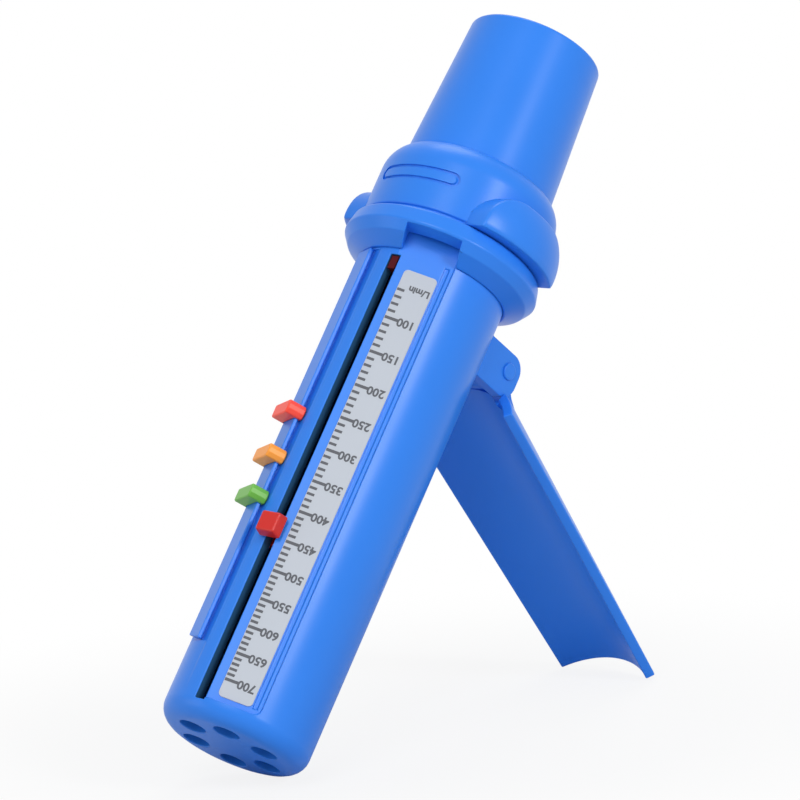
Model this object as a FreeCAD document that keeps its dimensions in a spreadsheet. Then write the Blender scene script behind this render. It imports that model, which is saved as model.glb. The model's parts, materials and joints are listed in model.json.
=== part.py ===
"""Mechanical peak flow meter: a slotted tube with a sliding pointer, three zone markers and a fold-out handle.

Every piece is drawn in the tube's own frame, in millimetres: Z runs up the tube axis from its vented end,
-Y is the front with the slot, and +Y is the back with the hinge. An azimuth is counted from the front
towards +X. At the end the whole meter is leaned back until it stands on its rounded end and the
handle's two foot corners, as it does on a table.
"""
import FreeCAD, Part

import math
import os

import Sketcher
from FreeCAD import Placement, Rotation, Vector

os.makedirs("parts", exist_ok=True)
doc = FreeCAD.newDocument("PeakFlowMeter")
sheet = doc.addObject("Spreadsheet::Sheet", "Dims")

DIMENSIONS = {
    # barrel
    "tube_radius": 16.5, "tube_wall": 2.8, "tube_top": 124.0, "end_wall": 2.4, "end_rounding": 4.0,
    "vent_count": 6, "vent_inset": 4.4, "vent_radius": 2.95,
    "boss_radius": 3.4, "boss_top": 7.6, "boss_floor": 1.2,
    "slot_azimuth": 8.6, "slot_width": 2.4, "slot_low": 3.6, "slot_drop": 1.4,
    "panel_azimuth": 34.5, "panel_width": 12.2, "panel_sink": 1.4, "panel_low": 4.1, "panel_cover": 6.6,
    "panel_corner": 1.6, "groove_width": 1.0, "groove_depth": 0.35, "groove_drop": 0.8, "groove_offset": 4.6,
    "label_width": 7.6, "label_low": 5.4, "label_drop": 4.0, "label_thickness": 0.2, "label_corner": 1.0,
    # rail and markers
    "rail_azimuth": -27.0, "rail_low": 17.5, "rail_drop": 0.4, "rail_head": 6.4, "rail_neck": 4.6,
    "rail_proud": 0.7, "rail_thickness": 0.9, "rail_sink": 0.9, "rail_flat": 12.0, "rail_run": 0.8,
    "marker_height": 3.6, "marker_wall": 0.85, "marker_proud": 3.5, "marker_point": 1.1,
    "slide_gap": 0.15, "red_place": 70.9, "yellow_place": 60.2, "green_place": 50.4,
    # handle and hinge
    "pivot_off": 5.3, "pivot_drop": 8.0, "open_angle": 71.05, "pin_radius": 1.3, "pin_gap": 0.05,
    "pin_head_radius": 1.9, "pin_head": 0.5, "lug_inner": 7.2, "lug_outer": 10.2, "lug_sink": 0.4,
    "lug_nose": 4.0, "lug_above": 4.1, "lug_below": 5.8, "lug_corner": 3.8, "lug_gap": 0.3,
    "knuckle_radius": 3.8, "tongue_rise": 1.0, "tongue_length": 5.0,
    "handle_length": 84.7, "handle_gap": 1.9, "handle_wall": 2.2, "handle_shoulder": 3.2,
    "wing_angle": 56.0, "foot_angle": 43.0,
    # head, with its two finger ears
    "sleeve_gap": 0.1, "head_skirt": 11.6, "skirt_lip": 0.9, "skirt_height": 8.2, "flange_rise": 5.3,
    "flange_band": 4.2, "flange_slope": 0.8, "neck_rise": 3.4, "neck_height": 0.8, "notch_gap": 0.2,
    "collar_rise": 3.8, "collar_height": 17.2, "collar_crown": 5.6, "collar_lip": 0.6, "collar_edge": 0.4,
    "socket_radius": 15.3, "socket_gap": 0.3, "ear_width": 26.6, "ear_gap": 0.6, "ear_height": 10.3,
    "ear_rise": 8.4, "ear_corner": 8.6, "ear_crown": 5.8, "ear_dome": 1.6,
    "recess_azimuth": 4.8, "recess_length": 20.9, "recess_height": 3.4, "recess_drop": 9.2,
    "recess_line": 0.7, "recess_depth": 0.5,
    # mouthpiece
    "mouth_bore": 13.2, "mouth_base": 17.0, "mouth_tip": 15.15, "mouth_length": 34.5, "spigot_length": 8.4,
    "seat_gap": 0.1, "tip_rounding": 0.7,
    # piston, rod, spring
    "rod_radius": 1.2, "rod_reach": 4.6, "rod_fit": 0.02, "rod_gap": 0.06,
    "seal_lip": 0.5, "seal_thickness": 0.8, "spider_thickness": 1.6, "spider_hub": 3.2, "spider_window": 50.0,
    "spider_arms": 3, "clip_radius": 2.8, "clip_thickness": 0.8, "anchor_thickness": 1.0, "anchor_radius": 3.1,
    "piston_park": 15.5, "piston_skirt": 4.6, "piston_gap": 0.3, "piston_web": 1.4, "piston_rim": 1.0,
    "bush_radius": 2.5, "bush_below": 0.9, "bush_above": 6.5, "bush_flange": 3.2,
    "tab_width": 1.7, "tab_drop": 0.8, "tab_height": 3.0, "tab_short": 0.4, "tab_root": 1.7,
    "spring_wire": 0.5, "spring_radius": 2.35, "spring_turns": 11, "bumper_radius": 4.6, "bumper_thickness": 1.5,
    # pointer
    "pointer_place": 44.0, "knob_width": 5.4, "knob_height": 5.2, "knob_gap": 0.25, "knob_depth": 2.85,
    "stem_width": 1.7, "stem_height": 2.4, "shoe_gap": 0.3, "shoe_wall": 1.5, "shoe_angle": 17.4,
    "shoe_height": 6.0,
}
for row, (alias, number) in enumerate(DIMENSIONS.items(), start=1):
    sheet.set(f"A{row}", alias)
    sheet.set(f"B{row}", str(number))
    sheet.setAlias(f"B{row}", alias)
doc.recompute()


class Size:
    """A length from the sheet with the expression that binds a feature to it, so sums of sizes stay bound."""

    def __init__(self, text, value):
        self.text = text
        self.value = value

    def __float__(self):
        return float(self.value)

    def __add__(self, other):
        other = as_size(other)
        return Size(f"({self.text} + {other.text})", self.value + other.value)

    def __sub__(self, other):
        other = as_size(other)
        return Size(f"({self.text} - {other.text})", self.value - other.value)

    def __mul__(self, other):
        other = as_size(other)
        return Size(f"({self.text} * {other.text})", self.value * other.value)

    def __truediv__(self, other):
        other = as_size(other)
        return Size(f"({self.text} / {other.text})", self.value / other.value)

    def __neg__(self):
        return Size(f"(0 - {self.text})", -self.value)


def as_size(number):
    """A plain number as a Size, and a Size as it is."""
    if isinstance(number, Size):
        return number
    return Size(f"{number}", float(number))


def size(alias):
    """The size in the sheet that has this name."""
    return Size(f"Dims.{alias}", float(getattr(sheet, alias)))


def cosine(angle):
    return Size(f"cos({angle.text} * 1 deg)", math.cos(math.radians(angle.value)))


def sine(angle):
    return Size(f"sin({angle.text} * 1 deg)", math.sin(math.radians(angle.value)))


def chord_depth(radius, offset):
    """How far from the axis a circle's surface lies at a sideways offset."""
    text = f"sqrt({radius.text} * {radius.text} - {offset.text} * {offset.text})"
    return Size(text, math.sqrt(radius.value ** 2 - offset.value ** 2))


TUBE = size("tube_radius")
BORE = TUBE - size("tube_wall")
PANEL = TUBE - size("panel_sink")
RAIL_FLOOR = TUBE - size("rail_sink")
RAIL_TOP = TUBE + size("rail_proud")
RAIL_UNDER = RAIL_TOP - size("rail_thickness")
HEAD_LOW = size("tube_top") - size("head_skirt")
FLANGE_HIGH = HEAD_LOW + size("skirt_height")
FLANGE_LOW = FLANGE_HIGH - size("flange_band")
COLLAR_LOW = FLANGE_HIGH + size("neck_height")
COLLAR_TOP = COLLAR_LOW + size("collar_height")
SEAT = COLLAR_TOP + size("seat_gap")
PIVOT_Y = TUBE + size("pivot_off")
PIVOT_Z = HEAD_LOW - size("pivot_drop")
HANDLE_INNER = TUBE + size("handle_gap")
PISTON_LOW = size("tube_top") - size("piston_park")
PISTON_OUTER = BORE - size("piston_gap")
SEAL_TOP = size("tube_top") + size("seal_thickness")
SPIDER_TOP = SEAL_TOP + size("spider_thickness")


def new_body(label):
    body = doc.addObject("PartDesign::Body", "".join(word.capitalize() for word in label.split("_")))
    body.Label = label
    return body


def origin_plane(body, role):
    return next(feature for feature in body.Origin.OriginFeatures if feature.Role == role)


def sketch_on(body, name, role):
    """An empty sketch on one of the body's own planes."""
    sketch = body.newObject("Sketcher::SketchObject", name)
    sketch.AttachmentSupport = [(origin_plane(body, role), "")]
    sketch.MapMode = "FlatFace"
    return sketch


def sketch_facing(body, name, azimuth, distance):
    """A sketch tangent to the tube: its x runs sideways, its y up the axis and its normal points outwards."""
    sketch = sketch_on(body, name, "XZ_Plane")
    sketch.AttachmentOffset = Placement(Vector(0, 0, 0), Rotation(Vector(0, 1, 0), azimuth.value))
    sketch.setExpression("AttachmentOffset.Rotation.Angle", f"{azimuth.text} * 1 deg")
    sketch.setExpression("AttachmentOffset.Base.x", (distance * sine(azimuth)).text)
    sketch.setExpression("AttachmentOffset.Base.z", (distance * cosine(azimuth)).text)
    return sketch


def sketch_across(body, name, azimuth, height):
    """A sketch across the tube at a height: its x runs sideways at the azimuth and its y towards the axis."""
    sketch = sketch_on(body, name, "XY_Plane")
    sketch.AttachmentOffset = Placement(Vector(0, 0, float(height)), Rotation(Vector(0, 0, 1), azimuth.value))
    sketch.setExpression("AttachmentOffset.Rotation.Angle", f"{azimuth.text} * 1 deg")
    sketch.setExpression("AttachmentOffset.Base.z", as_size(height).text)
    return sketch


def place_point(sketch, geometry, end, x, y):
    """Holds one point of a sketch at bound coordinates."""
    for kind, value, axis in (("DistanceX", as_size(x), -2), ("DistanceY", as_size(y), -1)):
        if abs(value.value) < 1e-9:
            sketch.addConstraint(Sketcher.Constraint("PointOnObject", geometry, end, axis))
        elif value.value > 0:
            number = sketch.addConstraint(Sketcher.Constraint(kind, -1, 1, geometry, end, value.value))
            sketch.setExpression(f"Constraints[{number}]", value.text)
        else:
            number = sketch.addConstraint(Sketcher.Constraint(kind, geometry, end, -1, 1, -value.value))
            sketch.setExpression(f"Constraints[{number}]", (-value).text)


def polygon(sketch, corners):
    """A closed outline through bound corners."""
    first = sketch.GeometryCount
    points = [Vector(float(x), float(y), 0) for x, y in corners]
    count = len(points)
    for number in range(count):
        sketch.addGeometry(Part.LineSegment(points[number], points[(number + 1) % count]), False)
    for number in range(count):
        following = first + (number + 1) % count
        sketch.addConstraint(Sketcher.Constraint("Coincident", first + number, 2, following, 1))
    for number, (x, y) in enumerate(corners):
        place_point(sketch, first + number, 1, x, y)
    return sketch


def rectangle(sketch, left, right, low, high):
    return polygon(sketch, [(left, low), (right, low), (right, high), (left, high)])


def circle(sketch, x, y, radius):
    centre = Vector(float(as_size(x)), float(as_size(y)), 0)
    number = sketch.addGeometry(Part.Circle(centre, Vector(0, 0, 1), radius.value), False)
    place_point(sketch, number, 3, x, y)
    constraint = sketch.addConstraint(Sketcher.Constraint("Radius", number, radius.value))
    sketch.setExpression(f"Constraints[{constraint}]", radius.text)
    return sketch


def domed(sketch, corners, dome):
    """A closed outline whose side after corner `dome` is an arc that carries on from the upright side before it."""
    first = sketch.GeometryCount
    points = [Vector(float(x), float(y), 0) for x, y in corners]
    count = len(points)
    for number in range(count):
        here, there = points[number], points[(number + 1) % count]
        if number == dome:
            run, rise = here.x - there.x, there.y - here.y
            radius = (run ** 2 + rise ** 2) / (2 * run)
            ring = Part.Circle(Vector(here.x - radius, here.y, 0), Vector(0, 0, 1), radius)
            sketch.addGeometry(Part.ArcOfCircle(ring, 0, math.atan2(rise, radius - run)), False)
        else:
            sketch.addGeometry(Part.LineSegment(here, there), False)
    for number in range(count):
        following = (number + 1) % count
        kind = "Tangent" if following == dome else "Coincident"
        sketch.addConstraint(Sketcher.Constraint(kind, first + number, 2, first + following, 1))
    for number, (x, y) in enumerate(corners):
        place_point(sketch, first + number, 1, x, y)
    return sketch


def sector(sketch, inner, outer, half_angle):
    """A piece of a ring that is centred on the sketch's +y axis."""
    first = sketch.GeometryCount
    angle = math.radians(float(half_angle))
    quarter = math.pi / 2
    side, rise = math.sin(angle), math.cos(angle)
    centre, normal = Vector(0, 0, 0), Vector(0, 0, 1)
    corners = [Vector(way * side * float(radius), rise * float(radius), 0)
               for radius, way in ((outer, 1), (outer, -1), (inner, -1), (inner, 1))]
    arc = Part.ArcOfCircle(Part.Circle(centre, normal, float(outer)), quarter - angle, quarter + angle)
    sketch.addGeometry(arc, False)
    sketch.addGeometry(Part.LineSegment(corners[1], corners[2]), False)
    arc = Part.ArcOfCircle(Part.Circle(centre, normal, float(inner)), quarter - angle, quarter + angle)
    sketch.addGeometry(arc, False)
    sketch.addGeometry(Part.LineSegment(corners[3], corners[0]), False)
    for one, end, other, start in ((0, 2, 1, 1), (1, 2, 2, 2), (2, 1, 3, 1), (3, 2, 0, 1)):
        sketch.addConstraint(Sketcher.Constraint("Coincident", first + one, end, first + other, start))
    for number, radius in ((0, outer), (2, inner)):
        place_point(sketch, first + number, 3, 0, 0)
        constraint = sketch.addConstraint(Sketcher.Constraint("Radius", first + number, radius.value))
        sketch.setExpression(f"Constraints[{constraint}]", radius.text)
        reach = radius * sine(half_angle)
        for end, ends in ((1, (-1, 1, first + number, 1)), (2, (first + number, 2, -1, 1))):
            constraint = sketch.addConstraint(Sketcher.Constraint("DistanceX", *ends, reach.value))
            sketch.setExpression(f"Constraints[{constraint}]", reach.text)
    return sketch


def stadium(sketch, half_length, middle, radius):
    """A slot outline lying sideways: two straight runs joined by half circles."""
    reach = (half_length - radius).value
    y = middle.value
    r = radius.value
    quarter = math.pi / 2
    low, high = Vector(0, y - r, 0), Vector(0, y + r, 0)
    side = Vector(reach, 0, 0)
    first = sketch.GeometryCount
    sketch.addGeometry(Part.LineSegment(low - side, low + side), False)
    ring = Part.Circle(Vector(reach, y, 0), Vector(0, 0, 1), r)
    sketch.addGeometry(Part.ArcOfCircle(ring, -quarter, quarter), False)
    sketch.addGeometry(Part.LineSegment(high + side, high - side), False)
    ring = Part.Circle(Vector(-reach, y, 0), Vector(0, 0, 1), r)
    sketch.addGeometry(Part.ArcOfCircle(ring, quarter, 3 * quarter), False)
    for number in range(4):
        following = first + (number + 1) % 4
        sketch.addConstraint(Sketcher.Constraint("Tangent", first + number, 2, following, 1))
    place_point(sketch, first + 1, 3, half_length - radius, middle)
    place_point(sketch, first + 3, 3, radius - half_length, middle)
    number = sketch.addConstraint(Sketcher.Constraint("Radius", first + 1, r))
    sketch.setExpression(f"Constraints[{number}]", radius.text)
    return sketch


def loaf(sketch, half, low, high, corner):
    """A flat-bottomed outline whose two upper corners are rounded."""
    y = (high - corner).value
    r = corner.value
    x = (half - corner).value
    w = half.value
    first = sketch.GeometryCount
    sketch.addGeometry(Part.LineSegment(Vector(-w, low.value, 0), Vector(w, low.value, 0)), False)
    sketch.addGeometry(Part.LineSegment(Vector(w, low.value, 0), Vector(w, y, 0)), False)
    ring = Part.Circle(Vector(x, y, 0), Vector(0, 0, 1), r)
    sketch.addGeometry(Part.ArcOfCircle(ring, 0, math.pi / 2), False)
    sketch.addGeometry(Part.LineSegment(Vector(x, y + r, 0), Vector(-x, y + r, 0)), False)
    ring = Part.Circle(Vector(-x, y, 0), Vector(0, 0, 1), r)
    sketch.addGeometry(Part.ArcOfCircle(ring, math.pi / 2, math.pi), False)
    sketch.addGeometry(Part.LineSegment(Vector(-w, y, 0), Vector(-w, low.value, 0)), False)
    for number in range(6):
        kind = "Tangent" if number in (1, 2, 3, 4) else "Coincident"
        following = first + (number + 1) % 6
        sketch.addConstraint(Sketcher.Constraint(kind, first + number, 2, following, 1))
    place_point(sketch, first, 1, -half, low)
    place_point(sketch, first, 2, half, low)
    place_point(sketch, first + 2, 3, half - corner, high - corner)
    place_point(sketch, first + 4, 3, corner - half, high - corner)
    sketch.addConstraint(Sketcher.Constraint("Vertical", first + 1))
    sketch.addConstraint(Sketcher.Constraint("Vertical", first + 5))
    return sketch


def extrude(body, kind, name, sketch, length=None, both_ways=False, reverse=False):
    """A Pad or a Pocket; a Pocket has to take material away and a Pad has to add some."""
    doc.recompute()
    before = body.Shape.Volume if not body.Shape.isNull() else 0.0
    feature = body.newObject(f"PartDesign::{kind}", name)
    feature.Profile = sketch
    feature.Midplane = both_ways
    feature.Reversed = reverse
    if length is None:
        feature.Type = "ThroughAll"
    else:
        feature.setExpression("Length", length.text)
    sketch.Visibility = False
    doc.recompute()
    change = body.Shape.Volume - before
    if (kind == "Pocket") == (change > -1e-6):
        raise RuntimeError(f"{name} changes the volume by {change:.4f}")
    return feature


def turn(body, kind, name, sketch):
    """A Revolution or Groove about the tube axis, which is the sketch's own vertical axis."""
    doc.recompute()
    before = body.Shape.Volume if not body.Shape.isNull() else 0.0
    feature = body.newObject(f"PartDesign::{kind}", name)
    feature.Profile = sketch
    feature.ReferenceAxis = (sketch, ["V_Axis"])
    feature.Angle = 360.0
    sketch.Visibility = False
    doc.recompute()
    change = body.Shape.Volume - before
    if (kind == "Groove") == (change > -1e-6):
        raise RuntimeError(f"{name} changes the volume by {change:.4f}")
    return feature


def turned_body(label, corners):
    """A body that is one turned profile of (radius, height) corners."""
    body = new_body(label)
    sketch = polygon(sketch_on(body, f"{body.Name}Profile", "XZ_Plane"), corners)
    turn(body, "Revolution", f"{body.Name}Turned", sketch)
    return body


def ring_body(label, inner, outer, low, high):
    return turned_body(label, [(inner, low), (outer, low), (outer, high), (inner, high)])


def soften(body, name, radius, wanted, kind="Fillet"):
    """Rounds or chamfers the edges of the tip for which wanted(edge) is true."""
    base = body.Tip
    chosen = [f"Edge{n}" for n, edge in enumerate(base.Shape.Edges, start=1) if wanted(edge)]
    if not chosen:
        raise RuntimeError(f"{name} finds no edge")
    feature = body.newObject(f"PartDesign::{kind}", name)
    feature.Base = (base, chosen)
    feature.setExpression("Radius" if kind == "Fillet" else "Size", radius.text)
    doc.recompute()
    return feature


def is_circle(edge, radius, height):
    curve = edge.Curve
    round_edge = isinstance(curve, Part.Circle) and abs(curve.Radius - radius.value) < 1e-4
    return round_edge and abs(curve.Center.z - height.value) < 1e-4


def runs_along(edge, direction):
    """True for a straight edge that is parallel to the direction."""
    if not isinstance(edge.Curve, Part.Line):
        return False
    return abs(abs(edge.Curve.Direction.dot(direction)) - 1) < 1e-6


def outward(azimuth):
    """The direction that points straight out of the tube at an azimuth."""
    angle = math.radians(azimuth.value)
    return Vector(math.sin(angle), -math.cos(angle), 0)


def build_body_tube():
    """The moulded barrel: closed vented end, slot, sunk scale panel, marker rail and two hinge lugs."""
    top, wall = size("tube_top"), size("end_wall")
    boss, boss_top, boss_floor = size("boss_radius"), size("boss_top"), size("boss_floor")
    hole = size("rod_radius") + size("rod_fit")
    body = new_body("body_tube")
    profile = [(0, 0), (TUBE, 0), (TUBE, top), (BORE, top), (BORE, wall), (boss, wall),
               (boss, boss_top), (hole, boss_top), (hole, boss_floor), (0, boss_floor)]
    turn(body, "Revolution", "Barrel", polygon(sketch_on(body, "BarrelProfile", "XZ_Plane"), profile))
    soften(body, "EndRounding", size("end_rounding"), lambda edge: is_circle(edge, TUBE, as_size(0)))

    root = chord_depth(TUBE, size("lug_outer")) - size("lug_sink")
    half = (size("lug_above") + size("lug_below")) / 2
    for side, sign in (("Right", 1), ("Left", -1)):
        sketch = sketch_on(body, f"{side}LugProfile", "YZ_Plane")
        sketch.AttachmentOffset = Placement(Vector(0, 0, 0), Rotation(Vector(0, 0, 1), -90))
        sketch.setExpression("AttachmentOffset.Base.y", (PIVOT_Z + size("lug_above") - half).text)
        middle = (size("lug_inner") + size("lug_outer")) / 2
        sketch.setExpression("AttachmentOffset.Base.z", (middle * sign).text)
        loaf(sketch, half, root, PIVOT_Y + size("lug_nose"), size("lug_corner"))
        extrude(body, "Pad", f"{side}Lug", sketch, size("lug_outer") - size("lug_inner"), both_ways=True)
    sketch = circle(sketch_on(body, "PinHoleProfile", "YZ_Plane"), PIVOT_Y, PIVOT_Z,
                    size("pin_radius") + size("rod_fit"))
    extrude(body, "Pocket", "PinHole", sketch, size("lug_outer") * 2.5, both_ways=True)

    rail_low, rail_high = size("rail_low"), HEAD_LOW - size("rail_drop")
    sketch = sketch_facing(body, "RailFlatProfile", size("rail_azimuth"), RAIL_FLOOR)
    half = size("rail_flat") / 2
    rectangle(sketch, -half, half, rail_low - size("rail_run"), rail_high)
    extrude(body, "Pocket", "RailFlat", sketch, TUBE, reverse=True)
    sketch = sketch_across(body, "RailProfile", size("rail_azimuth"), rail_low)
    polygon(sketch, rail_section(size("rail_neck") / 2, size("rail_head") / 2, RAIL_UNDER, RAIL_TOP,
                                 BORE + size("tube_wall") / 2))
    extrude(body, "Pad", "Rail", sketch, rail_high - rail_low)

    sketch = sketch_facing(body, "PanelProfile", size("panel_azimuth"), PANEL)
    half = size("panel_width") / 2
    rectangle(sketch, -half, half, size("panel_low"), HEAD_LOW + size("panel_cover"))
    extrude(body, "Pocket", "Panel", sketch, TUBE, reverse=True)
    normal = outward(size("panel_azimuth"))
    low = size("panel_low")
    soften(body, "PanelCorners", size("panel_corner"), lambda edge: runs_along(edge, normal)
           and abs(edge.BoundBox.ZMin - low.value) < 1e-4)

    sketch = sketch_facing(body, "GrooveProfile", size("panel_azimuth"), PANEL)
    left = size("groove_offset") - size("groove_width") / 2
    right = size("groove_offset") + size("groove_width") / 2
    rectangle(sketch, left, right, size("label_low"), HEAD_LOW - size("groove_drop"))
    extrude(body, "Pocket", "LabelGroove", sketch, size("groove_depth"))

    sketch = sketch_facing(body, "SlotProfile", size("slot_azimuth"), as_size(0))
    half = size("slot_width") / 2
    rectangle(sketch, -half, half, size("slot_low"), HEAD_LOW - size("slot_drop"))
    extrude(body, "Pocket", "Slot", sketch, TUBE * 1.2, reverse=True)

    sketch = sketch_on(body, "VentProfile", "XY_Plane")
    circle_at = BORE - size("vent_inset")
    azimuth = size("panel_azimuth")
    circle(sketch, circle_at * sine(azimuth), -(circle_at * cosine(azimuth)), size("vent_radius"))
    vent = extrude(body, "Pocket", "Vent", sketch, wall * 2, both_ways=True)
    repeat_round(body, "Vents", vent, sketch, size("vent_count"))
    return body


def repeat_round(body, name, feature, sketch, count):
    """Repeats a cut in equal steps round the tube's axis."""
    pattern = body.newObject("PartDesign::PolarPattern", name)
    pattern.Originals = [feature]
    pattern.Axis = (sketch, ["N_Axis"])
    pattern.Angle = 360.0
    pattern.setExpression("Occurrences", count.text)
    body.Tip = pattern
    doc.recompute()


def rail_section(neck, head, under, top, root):
    """The rail's T section by its half widths, with y towards the axis: the head above its neck."""
    return [(-neck, -root), (-neck, -under), (-head, -under), (-head, -top),
            (head, -top), (head, -under), (neck, -under), (neck, -root)]


def build_scale_label():
    body = new_body("scale_label")
    sketch = sketch_facing(body, "LabelProfile", size("panel_azimuth"), PANEL)
    half = size("label_width") / 2
    rectangle(sketch, -half, half, size("label_low"), HEAD_LOW - size("label_drop"))
    extrude(body, "Pad", "Sheet", sketch, size("label_thickness"))
    normal = outward(size("panel_azimuth"))
    soften(body, "LabelCorners", size("label_corner"), lambda edge: runs_along(edge, normal))
    return body


def build_inlet_head():
    """The collar that joins the mouthpiece to the barrel, with a flared flange and two finger ears."""
    body = new_body("inlet_head")
    flange, neck, collar = TUBE + size("flange_rise"), TUBE + size("neck_rise"), TUBE + size("collar_rise")
    lip, slope, edge = size("skirt_lip"), size("flange_slope"), size("collar_edge")
    sleeve, crown = TUBE + size("sleeve_gap"), COLLAR_TOP - size("collar_crown")
    knee = (HEAD_LOW + FLANGE_LOW) / 2
    profile = [(0, HEAD_LOW), (sleeve + lip, HEAD_LOW), (flange - slope * 2, knee), (flange - edge, FLANGE_LOW),
               (flange, FLANGE_LOW + lip), (flange - slope, FLANGE_HIGH), (neck, FLANGE_HIGH),
               (neck, COLLAR_LOW), (collar, COLLAR_LOW + edge), (collar, crown),
               (size("mouth_base") + size("collar_lip"), COLLAR_TOP), (0, COLLAR_TOP)]
    low = FLANGE_HIGH + size("ear_gap")
    high, ear = low + size("ear_height"), TUBE + size("ear_rise")
    spare = size("ear_gap")
    sketch = sketch_on(body, "EarCrownProfile", "YZ_Plane")
    domed(sketch, [(0, low - spare), (ear, low - spare), (ear, low + size("ear_crown")),
                   (ear - size("ear_dome"), high + spare), (0, high + spare)], dome=2)
    turn(body, "Revolution", "EarCrown", sketch)
    sketch = sketch_on(body, "EarOutline", "YZ_Plane")
    far = ear * 1.5
    rectangle(sketch, -far, far, low - spare * 2, high + spare * 2)
    loaf(sketch, size("ear_width") / 2, low, high, size("ear_corner"))
    extrude(body, "Pocket", "EarSides", sketch, far * 2, both_ways=True)
    turn(body, "Revolution", "Collar", domed(sketch_on(body, "CollarProfile", "XZ_Plane"), profile, dome=9))

    sketch = sketch_on(body, "PassageProfile", "XZ_Plane")
    shoulder = SPIDER_TOP + size("sleeve_gap")
    below, above = HEAD_LOW - lip, COLLAR_TOP + lip
    socket, floor = size("socket_radius"), SEAT - size("spigot_length") - size("socket_gap")
    polygon(sketch, [(0, below), (sleeve, below), (sleeve, shoulder), (BORE, shoulder),
                     (BORE, floor), (socket, floor), (socket, above), (0, above)])
    turn(body, "Groove", "Passage", sketch)

    sketch = sketch_facing(body, "PanelNotchProfile", size("panel_azimuth"), PANEL)
    half = size("panel_width") / 2 + size("notch_gap")
    rectangle(sketch, -half, half, below, FLANGE_LOW + size("notch_gap"))
    extrude(body, "Pocket", "PanelNotch", sketch, TUBE, reverse=True)

    azimuth, middle = size("recess_azimuth"), COLLAR_TOP - size("recess_drop")
    sketch = sketch_facing(body, "RecessProfile", azimuth, as_size(0))
    half, radius, line = size("recess_length") / 2, size("recess_height") / 2, size("recess_line")
    stadium(sketch, half, middle, radius)
    stadium(sketch, half - line, middle, radius - line)
    extrude(body, "Pocket", "RecessLine", sketch, collar * 1.2, reverse=True)
    refill = sketch_on(body, "RecessFloorProfile", "XZ_Plane")
    floor_radius = collar - size("recess_depth")
    low, high = middle - radius - line / 2, middle + radius + line / 2
    polygon(refill, [(socket, low), (floor_radius, low), (floor_radius, high), (socket, high)])
    turn(body, "Revolution", "RecessFloor", refill)
    return body


def build_mouthpiece():
    """A tapered mouthpiece with a straight bore and a spigot that pushes into the head's socket."""
    bore, base, tip = size("mouth_bore"), size("mouth_base"), size("mouth_tip")
    spigot, foot = size("socket_radius") - size("seat_gap"), SEAT - size("spigot_length")
    top = SEAT + size("mouth_length")
    body = turned_body("mouthpiece", [(bore, foot), (spigot, foot), (spigot, SEAT), (base, SEAT), (tip, top),
                                      (bore, top)])
    soften(body, "TipRounding", size("tip_rounding"),
           lambda edge: is_circle(edge, tip, top) or is_circle(edge, bore, top))
    return body


def build_handle():
    """The fold-out handle, drawn folded: a hinge knuckle and a tapering shell about the barrel's back."""
    inner, outer = HANDLE_INNER, HANDLE_INNER + size("handle_wall")
    foot, shoulder = PIVOT_Z - size("handle_length"), PIVOT_Z - size("handle_shoulder")
    tongue = size("lug_inner") - size("lug_gap")
    body = new_body("handle")
    sketch = circle(sketch_on(body, "KnuckleProfile", "YZ_Plane"), PIVOT_Y, PIVOT_Z, size("knuckle_radius"))
    extrude(body, "Pad", "Knuckle", sketch, tongue * 2, both_ways=True)
    sketch = sketch_on(body, "TongueProfile", "YZ_Plane")
    rectangle(sketch, inner, outer + size("tongue_rise"), shoulder - size("tongue_length"), PIVOT_Z)
    extrude(body, "Pad", "Tongue", sketch, tongue * 2, both_ways=True)

    low = sector(sketch_across(body, "FootProfile", as_size(0), foot), inner, outer, size("foot_angle"))
    high = sector(sketch_across(body, "ShoulderProfile", as_size(0), shoulder), inner, outer, size("wing_angle"))
    shell = body.newObject("PartDesign::AdditiveLoft", "Shell")
    shell.Profile = low
    shell.Sections = [high]
    shell.Ruled = True
    doc.recompute()

    lug, gap = size("lug_outer") + size("lug_gap"), size("lug_gap")
    sketch = sketch_on(body, "LugNotchProfile", "XZ_Plane")
    notch_low = PIVOT_Z - size("lug_below") - gap
    rectangle(sketch, tongue, lug, notch_low, PIVOT_Z)
    rectangle(sketch, -lug, -tongue, notch_low, PIVOT_Z)
    extrude(body, "Pocket", "LugNotches", sketch, outer * 2.2, both_ways=True)
    sketch = circle(sketch_on(body, "KnuckleHoleProfile", "YZ_Plane"), PIVOT_Y, PIVOT_Z,
                    size("pin_radius") + size("pin_gap"))
    extrude(body, "Pocket", "KnuckleHole", sketch, tongue * 3, both_ways=True)
    return body


def build_hinge_pin():
    """A plain pin through both lugs with a low head at each end."""
    body = new_body("hinge_pin")
    reach = size("lug_outer") + size("pin_gap")
    sketch = circle(sketch_on(body, "PinProfile", "YZ_Plane"), PIVOT_Y, PIVOT_Z, size("pin_radius"))
    extrude(body, "Pad", "PinShank", sketch, reach * 2, both_ways=True)
    for side, sign in (("Right", 1), ("Left", -1)):
        sketch = sketch_on(body, f"{side}HeadProfile", "YZ_Plane")
        middle = reach + size("pin_head") / 2
        sketch.setExpression("AttachmentOffset.Base.z", (middle * sign).text)
        circle(sketch, PIVOT_Y, PIVOT_Z, size("pin_head_radius"))
        extrude(body, "Pad", f"{side}Head", sketch, size("pin_head"), both_ways=True)
    return body


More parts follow.
